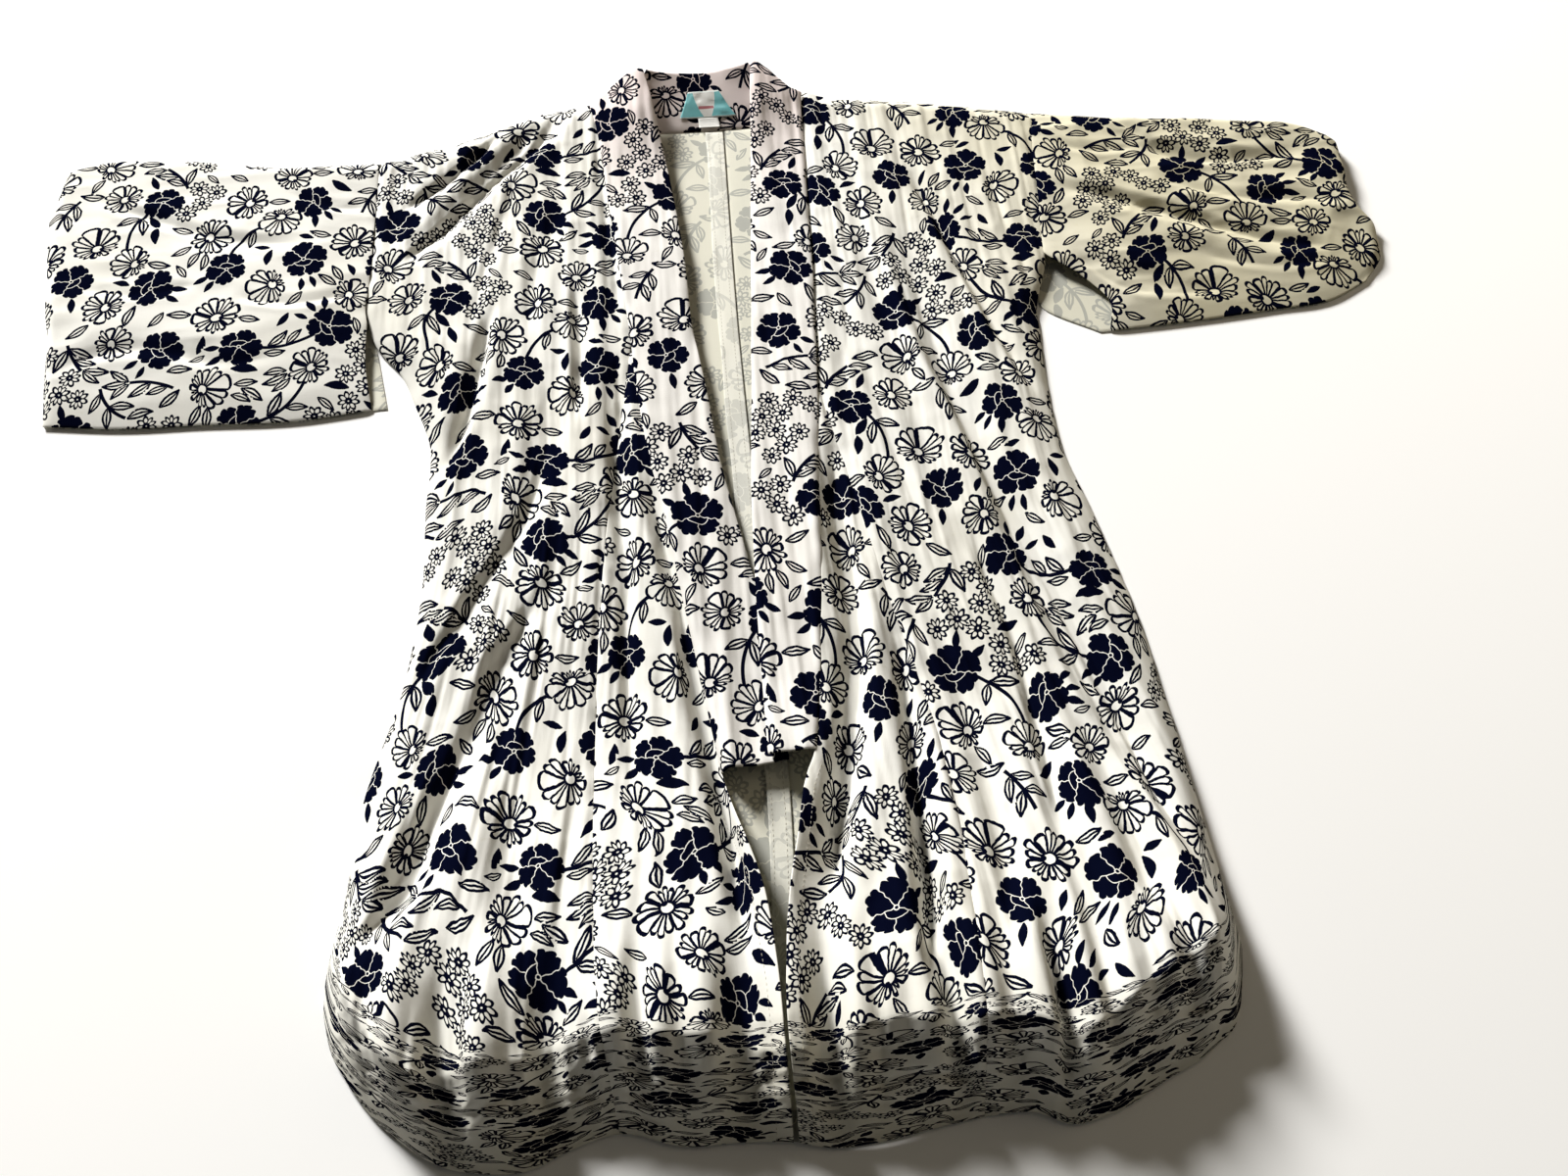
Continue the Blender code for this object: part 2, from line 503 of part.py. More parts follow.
def build_robe():
    for old in list(bpy.data.objects):
        bpy.data.objects.remove(old, do_unlink=True)
    robe = bpy.data.collections.new("kimono_robe")
    bpy.context.scene.collection.children.link(robe)
    printed = cloth_material("printed_cotton", (0.80, 0.79, 0.74), 0.85)
    reverse = cloth_material("cotton_reverse", (0.76, 0.73, 0.62), 0.88)
    band = cloth_material("collar_cotton", (0.80, 0.77, 0.73), 0.85)
    label_cloth = cloth_material("label_white", (0.78, 0.76, 0.70), 0.7)
    label_side = cloth_material("label_turquoise", (0.20, 0.52, 0.50), 0.6)
    build_backs(robe, reverse)
    build_fronts(robe, printed)
    build_overlaps(robe, printed)
    build_bands(robe, band)
    build_neck(robe, band, label_cloth, label_side)
    build_allowance(robe, reverse)
    build_sleeves(robe, printed)


build_robe()
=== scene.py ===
# Dresses the laid-out kimono robe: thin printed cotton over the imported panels, with its folds,
# seams, stitches, collar and label, a camera at the photograph's angle, soft light, a pale floor.
# In the plan, y runs up the robe from the hem line and x across it.
import math
import bpy
import numpy as np
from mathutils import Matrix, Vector


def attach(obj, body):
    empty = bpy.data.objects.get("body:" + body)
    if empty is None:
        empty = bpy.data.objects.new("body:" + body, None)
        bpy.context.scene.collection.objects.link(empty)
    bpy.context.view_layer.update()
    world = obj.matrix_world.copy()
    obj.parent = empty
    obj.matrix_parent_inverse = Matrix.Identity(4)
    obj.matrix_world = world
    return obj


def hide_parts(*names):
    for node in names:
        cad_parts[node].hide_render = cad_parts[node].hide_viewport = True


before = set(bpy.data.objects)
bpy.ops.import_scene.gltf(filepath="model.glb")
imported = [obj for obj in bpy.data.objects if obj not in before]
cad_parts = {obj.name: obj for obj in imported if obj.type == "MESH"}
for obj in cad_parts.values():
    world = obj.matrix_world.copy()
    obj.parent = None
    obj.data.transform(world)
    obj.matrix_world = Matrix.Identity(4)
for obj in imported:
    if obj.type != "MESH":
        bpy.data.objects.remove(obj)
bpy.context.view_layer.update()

robe = dict(
    origin=(-0.00350, 0.46203),  # the plan's point that stands at the part's own origin
    layer=0.0015,                # height of one panel in the part
    laidTop=0.0033,              # top of an upper panel that lies on a lower one
    wall=0.0008,                 # the cloth itself, here
    turnedWall=0.0007,           # what a turned edge adds to it
    bodyFullness=0.010,          # how high the fronts stand over the back at the waist
    hemFullness=0.046,           # and where they bunch up above the hem
    hemRun=0.066,                # how far they take to come down to the hem
    hemFold=0.013,               # width of the turned hem
    sleeveFullness=0.013,
    neckRise=0.018,              # how much the collar stands up beside the neck
    middle=-0.007,               # x of the line between the fronts
    bandLift=0.0018,             # the collar band over the cloth beside it
    armholeDip=0.0010,
    seamDip=0.0028,              # how far the cloth sinks at a sewn edge
    seamRun=0.0042,              # and over what distance
    floor=0.0002,                # level of an edge that is wrapped down to the floor
)


def table(columns, *millimetres):
    # rows of so many columns, in metres; a depth in thousandths becomes a share
    return np.array(millimetres).reshape(-1, columns) / 1000


def along(rows, at, column=1):
    # reads one column of a table at the given places, on a smooth cubic through its rows
    rows = np.asarray(rows)[np.argsort(np.asarray(rows)[:, 0])]
    key, value = rows[:, 0], rows[:, column]
    slope = np.gradient(value, key)
    at = np.clip(np.asarray(at, float), key[0], key[-1])
    low = np.clip(np.searchsorted(key, at) - 1, 0, len(key) - 2)
    step = key[low + 1] - key[low]
    t = (at - key[low]) / step
    return (value[low] * (1 + 2 * t) * (1 - t) ** 2 + value[low + 1] * t * t * (3 - 2 * t)
            + slope[low] * step * t * (1 - t) ** 2 - slope[low + 1] * step * t * t * (1 - t))


def softStep(value, start, stop):
    # 0 before start, 1 after stop, 3t^2 - 2t^3 between
    t = np.clip((value - start) / (stop - start), 0, 1)
    return t * t * (3 - 2 * t)


def rounded(distance, run):
    # quarter of a sine: steep at an edge, level at the end of the run
    return np.sin(np.clip(distance / run, 0, 1) * np.pi / 2) ** 0.9


def bell(value, middle, halfWidth):
    # exp(-q^2) of the distance from the middle in half widths
    return np.exp(-((value - middle) / halfWidth) ** 2)


def towardsOne(value, share):
    # closes the given share of what is missing to 1
    return value + (1 - value) * share


def lengthOf(vectors):
    return np.linalg.norm(vectors, axis=-1)


def unit(vectors):
    return vectors / np.maximum(np.linalg.norm(vectors, axis=-1, keepdims=True), 1e-12)


def heading(angle):
    return np.stack([np.cos(angle), np.sin(angle)], -1)


def softNoise(x, y, seed):
    # value noise: random heights on a 64 x 64 lattice joined by quintic steps, about -1 to 1
    lattice = np.random.default_rng(seed).uniform(-1, 1, (64, 64))
    column, row = np.floor(x).astype(int), np.floor(y).astype(int)
    s, t = x - column, y - row
    s, t = s ** 3 * (s * (6 * s - 15) + 10), t ** 3 * (t * (6 * t - 15) + 10)
    left, right = column % 64, (column + 1) % 64
    low, high = row % 64, (row + 1) % 64
    return ((lattice[low, left] * (1 - s) + lattice[low, right] * s) * (1 - t)
            + (lattice[high, left] * (1 - s) + lattice[high, right] * s) * t)


def ridgedNoise(x, y, seed):
    # 1 - |noise| twice over: sharp crests with wide hollows, as crumpled cloth has, about -1 to 1
    first = 1 - 2.4 * np.abs(softNoise(x, y, seed))
    second = 1 - 2.4 * np.abs(softNoise(2.1 * x + 7.3, 2.1 * y + 1.7, seed + 1))
    return 0.7 * first + 0.3 * second


# the plan of the edges, in millimetres
cut = dict(
    sideLeft=table(2,   # y, x
        905, -340,  760, -340,  700, -340,  660, -328,  630, -306,  600, -294,  550, -277,
        485, -278,  407, -278,  317, -289,  210, -318,  135, -326.5,  85, -335.5,  50, -335.5),
    sideRight=table(2,   # y, x
        905, 338,  850, 332.5,  785, 326,  740, 321.5,  720, 319.5,  690, 311.5,  660, 303,
        630, 301,  560, 297,  508, 297,  434, 311,  336, 329,  245, 338,  161, 343.5,  98, 347.5,
        53, 350,  25, 349),
    shoulder=table(2,   # x, y
        -340, 904,  -298, 914,  -248, 928,  -207, 946,  -166, 960,  -122, 957,  98, 952,  132, 954,
        187, 947,  262, 933,  338, 916),
    hem=table(2,   # x, y
        -338, 70,  -330, 38,  -317, 14,  -298, -11,  -276, -31,  -250, -48,  -218, -57,  -185, -58,
        -157, -48,  -120, -40,  -76, -52,  -32, -53,  0, -56,  30, -62,  64, -61,  100, -56,
        144, -51,  176, -52,  198, -61,  230, -57,  274, -38,  314, -19,  338, 6,  350, 45),
    bandLeft=table(3,   # y, x of the sewn edge, x of the free edge
        985, -130, -64,  945, -120, -57,  880, -111, -48,  824, -106, -41.5,  742, -98, -34.5,
        645, -89, -30,  586, -85, -22,  514, -76.5, -15,  453, -66, -5,  382, -56, 8,
        300, -44, 18,  216, -32, 23),
    bandRight=table(3,   # y, x of the free edge, x of the sewn edge
        985, 50, 108,  945, 47, 100,  880, 42.5, 97,  819, 38, 94,  730, 31.5, 90.5,
        656, 26.5, 86,  584, 21, 81,  461, 12, 71.5,  380, 8.5, 65,  304, 7.5, 56,  226, 7, 45),
    okumiLeft=table(3,   # y, x of the seam, x of the free edge
        645, -89, -89,  540, -105, -79,  426, -119, -62,  320, -128, -47,  216, -132, -32,
        180, -132.5, -24,  121, -132, -7,  61, -130, -1,  5, -124, 0,  -56, -120, 1),
    okumiRight=table(3,   # y, x of the free edge, x of the seam
        584, 81, 81,  480, 73, 100,  367, 63.5, 119,  290, 54, 134,  226, 45, 144,  200, 34.5, 146,
        162, 26.5, 148,  113, 15, 147,  48, 6, 144,  -56, 6, 138),
    centreBack=table(2,   # y, x
        925, 15,  657, 12.5,  458, 15,  168, 20.5,  82, 16,  -60, 10),
)
sleeveLeft = dict(
    side=-1,
    shoulder=table(2, -340.3, 904,  -428, 903,  -528, 920,  -629, 925,  -662.5, 915),
    bottom=table(2, -325, 596,  -400, 589,  -490, 592,  -562, 594,  -633, 603),
    cuff=table(2, 915, -662.5,  855, -664,  754, -651,  637, -638.5,  603, -633),
    upperInner=table(2, 900, -340.3,  760, -340.3,  700, -340.3,  645, -340,  596, -333),
    lowerInner=table(2, 900, -340.3,  760, -340.3,  700, -340.3,  645, -328.5,  596, -319),
)
sleeveRight = dict(
    side=1,
    shoulder=table(2, 338.3, 916,  441, 898,  541, 886,  625, 866,  648, 850),
    bottom=table(2, 370, 626,  432, 629,  531, 637,  595, 645,  632, 664),
    cuff=table(2, 850, 648,  806, 646.5,  772, 642.5,  750, 645,  732, 656,  712, 657,  690, 654,
        664, 632),
    upperInner=table(2, 905, 338,  850, 332.5,  785, 326,  740, 321.5,  720, 320,  690, 352,
        660, 374,  626, 370),
    lowerInner=table(2, 905, 338,  850, 332.5,  785, 326,  740, 321.5,  720, 320,  690, 314,
        660, 310,  626, 360),
)


def edge(rows, column=1, shift=0.0):
    return lambda y: along(rows, y, column) + shift


def levelLine(level):
    return lambda x: np.full_like(np.asarray(x, float), level)


def seamThenBand(seam, band, join, seamColumn, bandColumn):
    # the collar band's edge above the join, the panel's own seam below it
    def at(y):
        y = np.asarray(y, float)
        return np.where(y > join, along(band, y, bandColumn), along(seam, y, seamColumn))
    return at


def planBetween(outer, inner, top, bottom):
    # x = outer (1-u) + inner u at the height that goes from the top edge to the bottom with v;
    # y = top (1-v) + bottom v at the x that u has on either edge
    def corner(side, cross, guess):
        y = guess
        for _ in range(6):
            y = float(cross(side(y)))
        return y

    outerTop, outerLow = corner(outer, top, 0.9), corner(outer, bottom, 0.0)
    innerTop, innerLow = corner(inner, top, 0.9), corner(inner, bottom, 0.0)

    def plan(u, v):
        x = (outer(outerTop * (1 - v) + outerLow * v) * (1 - u)
             + inner(innerTop * (1 - v) + innerLow * v) * u)
        topX = outer(outerTop) * (1 - u) + inner(innerTop) * u
        lowX = outer(outerLow) * (1 - u) + inner(innerLow) * u
        return x, top(topX) * (1 - v) + bottom(lowX) * v
    return plan


def spread(amount, startRun=0.0, endRun=0.0):
    # 0 to 1, closer together near the start or the end by the given strengths
    t = np.linspace(0, 1, amount)
    return t + startRun * t * (1 - t) * (t - 1) + endRun * t * (1 - t) * t


# where the fronts turn and bunch, in metres
turnsAt = dict(
    low=0.30,                # the cloth begins to bunch here, on its way down to the hem
    side=0.034, shoulder=0.022,                # how far in from an edge a front is level again
    armhole=(0.64, 0.72), shoulderJoin=(0.10, 0.15),   # no turn where it is sewn or folded on
    neckFrom=0.057, neckHalf=0.045, neckUp=(0.85, 0.975),
    tongues=0.052, tonguesHalf=0.034, hollows=0.026, hollowsHalf=0.024,   # above the hem
)
# tables in millimetres, single values in metres
folds = dict(
    # wide troughs down the body, as in the part: y and x of the top, the middle and the lower
    # end, depth in thousandths of the fullness, half widths to the left and to the right
    troughs=table(9,
        950, -160, 840, -245, 750, -311, 600, 12, 20,
        930, -215, 880, -257, 824, -312, 400, 9, 11,
        705, -221, 610, -237, 500, -264, 650, 10, 8,
        640, -172, 476, -186, 283, -296, 420, 10, 19,
        418, -163, 257, -236, 77, -306, 520, 9, 21,
        730, -143, 631, -138, 545, -143, 550, 8, 8,
        640, -112, 430, -106, 180, -102, 600, 9, 10,
        520, -79, 300, -48, 50, -14, 600, 10, 8,
        560, 88, 340, 90, 70, 36, 850, 17, 12,
        820, 172, 500, 220, 60, 332, 800, 9, 23,
        880, 190, 700, 242, 520, 294, 600, 9, 10,
        450, 193, 300, 221, 120, 228, 450, 9, 10,
        400, 112, 220, 123, 10, 107, 550, 10, 9,
        860, 128, 600, 160, 330, 196, 350, 10, 11,
        840, -150, 740, -178, 640, -197, 300, 11, 10,
        330, -205, 200, -200, 60, -182, 300, 13, 13,
        300, 168, 180, 178, 50, 180, 320, 12, 12,
        260, 262, 160, 276, 50, 285, 300, 12, 12),
    # the same across the sleeves: x and y of one end, the middle and the other end
    crossTroughs=table(9,
        348, 800, 450, 762, 600, 706, 600, 17, 13,
        400, 866, 500, 828, 610, 812, 550, 12, 15,
        345, 722, 400, 684, 500, 664, 550, 9, 12,
        -600, 860, -500, 800, -420, 780, 250, 12, 14,
        -640, 660, -560, 680, -450, 650, 250, 12, 12),
    # gathers above the hem: x, depth in thousandths of the hem's fullness, half width
    gathers=table(3,
        -306, 100, 13,  -270, 160, 14,  -239, -120, 13,  -208, 170, 14,  -166, -120, 16,
        -120, 150, 13,  -100, -100, 9,  -85, 130, 9,  -54, 140, 13,  -26, -100, 12,  13, 80, 12,
        34, -100, 12,  55, 140, 10,  78, 120, 10,  101, 130, 11,  122, -100, 10,  144, 170, 12,
        183, 120, 13,  199, -120, 10,  215, 140, 10,  247, 120, 12,  277, 120, 12,  310, 100, 12),
    # narrow creases in the wide troughs and between them: depth, half widths to the left and to
    # the right, then y and x down the line
    creases=(
        (3.4, 4, 10,  955, -157,  903, -181,  862, -221,  825, -255,  801, -274,  774, -297,
         750, -311),
        (2.2, 4, 6,  930, -213,  891, -247,  866, -271,  842, -295,  824, -312),
        (2.8, 5, 4,  705, -221,  618, -235,  559, -247,  514, -261),
        (2.4, 4, 9,  642, -172,  574, -170,  518, -172,  476, -185,  434, -205,  398, -229,
         354, -254,  316, -276,  283, -296),
        (3, 5, 11,  418, -163,  370, -184,  319, -220,  257, -235,  217, -249,  184, -261,
         141, -271,  103, -300,  77, -306),
        (2.2, 4, 4,  730, -143,  631, -138,  565, -143),
        (2, 4, 5,  633, -104,  550, -102),
        (2.6, 4, 5,  556, -121,  512, -109,  458, -107,  392, -100,  359, -103,  266, -103,
         193, -102),
        (4.8, 6, 4,  514, -80,  448, -72,  381, -60,  336, -54,  282, -46,  216, -36,  170, -29,
         117, -25,  78, -19,  55, -12),
        (6.2, 9, 6,  537, 90,  447, 87,  370, 90,  324, 90,  289, 86,  246, 77,  198, 66,  152, 55,
         116, 48,  84, 38),
        (3.4, 8, 3,  915, -118.5,  824, -111.5,  742, -103.5,  660, -95.5),
        (4.4, 5, 12,  802, 174,  681, 176,  601, 190,  530, 213,  471, 226,  419, 244,  364, 260,
         317, 273,  275, 284,  213, 300,  157, 310,  114, 323,  75, 330),
        (3, 4, 6,  856, 199,  764, 223,  665, 248,  590, 271,  544, 288),
        (2.4, 6, 4,  831, 282,  773, 287,  674, 303),
        (2.4, 4, 5,  428, 197,  367, 207,  319, 221,  272, 222,  217, 226,  135, 227),
        (3, 5, 4,  363, 117,  340, 125,  267, 123,  216, 122,  132, 120,  95, 121,  49, 108,
         18, 107),
        (1.6, 4, 6,  880, -196,  800, -214,  730, -232,  660, -243),
        (1.8, 4, 6,  620, 128,  520, 140,  420, 158,  330, 166),
        (1.6, 4, 5,  760, 116,  690, 118,  600, 112),
        (1.6, 4, 5,  500, -140,  400, -142,  300, -150,  200, -156),
        (1.6, 5, 6,  540, 240,  450, 262,  380, 280),
    ),
    # the same across the sleeves: depth, half widths below and above, then x and y along the line
    crossCreases=(
        (4.4, 10, 6,  340, 806,  387, 789,  468, 752,  549, 716,  620, 700),
        (3, 5, 8,  400, 906,  432, 880,  468, 836,  522, 821,  576, 822,  620, 816),
        (3, 4, 7,  344, 726,  373, 686,  447, 661,  500, 664),
        (2.2, 5, 6,  450, 800,  520, 772,  600, 762,  650, 752),
        (2, 4, 6,  470, 704,  540, 684,  610, 688),
        (1.8, 4, 6,  345, 868,  380, 850,  440, 846),
        (1.6, 6, 6,  -640, 876,  -560, 836,  -480, 802,  -400, 790),
        (1.4, 6, 6,  -650, 655,  -560, 676,  -470, 654,  -400, 660),
        (1.6, 4, 6,  -470, 730,  -410, 716,  -350, 728),
        (1.4, 4, 6,  -430, 860,  -390, 838,  -345, 834),
        (1.2, 5, 6,  -620, 752,  -560, 740,  -500, 748),
    ),
    ripple=0.0017,           # uneven ripples that run with the panels
    crumple=0.00072,         # small dents everywhere
    creaseDepth=1.5,
    sleeveCreaseDepth=0.7,   # the sleeves' share of it
    ridge=0.28,              # height of the low ridges beside a trough
    crest=0.35,              # and of the crests beside a crease
    gatherDepth=2.8,
    hemCrumple=0.0052,       # tongues of cloth where the bunched part begins
    hemFolds=0.0064,         # and sharp hollows across them, where it turns down to the hem
    crestStart=0.050,        # crests higher than this are eased off
    crestRoom=0.0125,        # and never rise by more than this above it
    hemBunch=4.0,            # how much more cloth lies there than the mesh shows
    pucker=0.0005,           # puckers along a sewn edge
    puckerRun=0.011,
    sleeveCrumple={-1: 0.0010, 1: 0.0024},   # left sleeve, right sleeve
)


def foldShare(across, line, key, ends, below, above, fadeFrom):
    # how far a fold has faded out towards its ends, and the distance from it in half widths
    middle, reach = (ends[0] + ends[1]) / 2, abs(ends[0] - ends[1]) / 2
    fade = 1 - softStep(np.abs(key - middle), fadeFrom * reach, reach)
    return fade, np.abs((across - line) / np.where(across < line, below, above))


def pressed(x, y, rows, across, lowest, highest):
    # share of the fullness left by the wide troughs: exp(-q^2) with a low ridge at q = 1.9
    left = np.ones_like(x)
    key, value = (x, y) if across else (y, x)
    for *points, depth, below, above in rows:
        line = along(np.reshape(points, (3, 2)), key)
        fade, q = foldShare(value, line, key, (points[0], points[4]), below, above, 0.45)
        left = left - depth * fade * (np.exp(-q * q) - folds["ridge"] * bell(q, 1.9, 1))
    return np.clip(left, lowest, highest)


def creased(x, y, rows, across):
    # metres that the narrow creases take away: exp(-q^1.3) with a crest at q = 2 on each side
    down = np.zeros_like(x)
    key, value = (x, y) if across else (y, x)
    for depth, below, above, *points in rows:
        line = table(2, *points)
        fade, q = foldShare(value, along(line, key), key, (line[0, 0], line[-1, 0]),
                            below / 1000, above / 1000, 0.6)
        sunk = np.exp(-q ** 1.3) - folds["crest"] * bell(q, 2.0, 0.9)
        down = down + depth / 1000 * fade * sunk
    return down * folds["creaseDepth"]


def frontHeight(x, y):
    # laid level + (fullness x (troughs + gathers) + ripples + crumples - creases + the hem's
    # folds, eased off at the crests) x the turns at side, hem and shoulder + the rise at the neck
    t = turnsAt
    low = 1 - softStep(y, 0.0, t["low"])
    fullness = robe["bodyFullness"] + (robe["hemFullness"] - robe["bodyFullness"]) * low
    toSide = np.minimum(x - along(cut["sideLeft"], y), along(cut["sideRight"], y) - x)
    overSide = towardsOne(rounded(toSide, t["side"]), softStep(y, *t["armhole"]) * 0.9)
    above = y - along(cut["hem"], x)
    toHem = above / (robe["hemRun"] * (1 + 0.22 * softNoise(15 * x + 2, 4 * x + 5, 26)))
    overHem = np.clip(toHem, 0, 1)
    overHem = overHem * (1.14 - 0.14 * overHem)
    fromMiddle = np.abs(x - robe["middle"])
    overShoulder = rounded(along(cut["shoulder"], x) - y, t["shoulder"])
    overShoulder = towardsOne(overShoulder, 1 - softStep(fromMiddle, *t["shoulderJoin"]))
    neck = bell(fromMiddle, t["neckFrom"], t["neckHalf"]) * softStep(y, *t["neckUp"])
    wave = np.zeros_like(x)
    for middle, share, halfWidth in folds["gathers"]:
        wave = wave + folds["gatherDepth"] * share * bell(x, middle, halfWidth)
    wave = wave * (1 - softStep(y, 0.02, 0.13))
    height = fullness * (pressed(x, y, folds["troughs"], False, 0.12, 1.45) + wave)
    # ripples fan out with the panels, so they are read on x divided by the robe's width there
    fan = (x - robe["middle"]) / (0.30 + 0.10 * softStep(0.5 - y, 0.0, 0.5))
    skirt = 0.70 + 0.60 * softStep(0.62 - y, 0.0, 0.42)
    ripple = (softNoise(24 * fan + 9, 3.2 * y + 4, 11) + 0.6 * softNoise(47 * fan, 6.5 * y, 12)
              + 0.35 * softNoise(90 * fan, 14 * y, 13))
    height = height + folds["ripple"] * skirt * ripple
    height = height + folds["crumple"] * ridgedNoise(30 * x, 22 * y, 14)
    height = height - creased(x, y, folds["creases"], False) * (0.8 + 0.9 * low)
    tongues = ridgedNoise(30 * x + 3, 6 * y + 40, 21) * bell(above, t["tongues"], t["tonguesHalf"])
    height = height + folds["hemCrumple"] * tongues
    bent = y + 0.022 * softNoise(13 * x, 9 * y, 24)
    hollows = 0.9 * ridgedNoise(19 * x, 62 * bent, 25) + 0.45 * ridgedNoise(44 * x, 120 * bent, 27)
    height = height - folds["hemFolds"] * bell(above, t["hollows"], t["hollowsHalf"]) * hollows
    over = np.maximum(height - folds["crestStart"], 0)
    height = height - over + folds["crestRoom"] * (1 - np.exp(-over / folds["crestRoom"]))
    turns = overSide * overHem * overShoulder
    return robe["laidTop"] + np.maximum(height, 0) * turns + robe["neckRise"] * neck


# where one front crosses the other: metres up or down, the x where this fades out, the y where it
# begins and the y where it ends
crossed = dict(up=0.0030, upX=(0.045, 0.110), upLow=(0.19, 0.25), upHigh=(0.46, 0.60),
               down=0.0050, downX=(-0.045, 0.010), downLow=(0.09, 0.19), downHigh=(0.50, 0.64))


def rightHeight(x, y):
    # the right front crosses over the left one, so it lies higher beside the middle
    c = crossed
    rise = (1 - softStep(x, *c["upX"])) * softStep(y, *c["upLow"])
    return frontHeight(x, y) + c["up"] * rise * (1 - softStep(y, *c["upHigh"]))


def leftHeight(x, y):
    # the left front sinks towards its free edges, under the right one
    c = crossed
    sink = softStep(x, *c["downX"]) * (1 - softStep(y, *c["downHigh"])) * softStep(y, *c["downLow"])
    return frontHeight(x, y) - c["down"] * sink


# One repeat of the print, laid out by rule: blossoms spread evenly, daisies beside them, arching
# stems between with leaves along them, small daisies in clusters of four, fans of leaves out from
# under the heads, sprigs, and loose leaves in the gaps.
printRepeat = dict(
    across=300.0, down=372.0,   # millimetres
    blossoms=12, daisies=18, stems=8, sprigs=12, smallDaisies=28, looseLeaves=26,
    blossom=21.5, daisy=24.0, small=9.0,   # full radius
    leaf=14.0,                             # full half length
    seed=7,
)
printSize = np.array([printRepeat["across"], printRepeat["down"]])


def nearestCopy(gap):
    # the same gap, to the nearest of the repeat's copies
    return (gap + printSize / 2) % printSize - printSize / 2


def stemGap(place, stem):
    # from the centre of a stem's circle to a place, by the copy whose own middle is nearest
    middle = stem[..., :2] + stem[..., 2:3] * heading(stem[..., 3])
    return nearestCopy(place - middle) + middle - stem[..., :2]


def halfTurns(angle):
    return (angle + np.pi) % (2 * np.pi) - np.pi


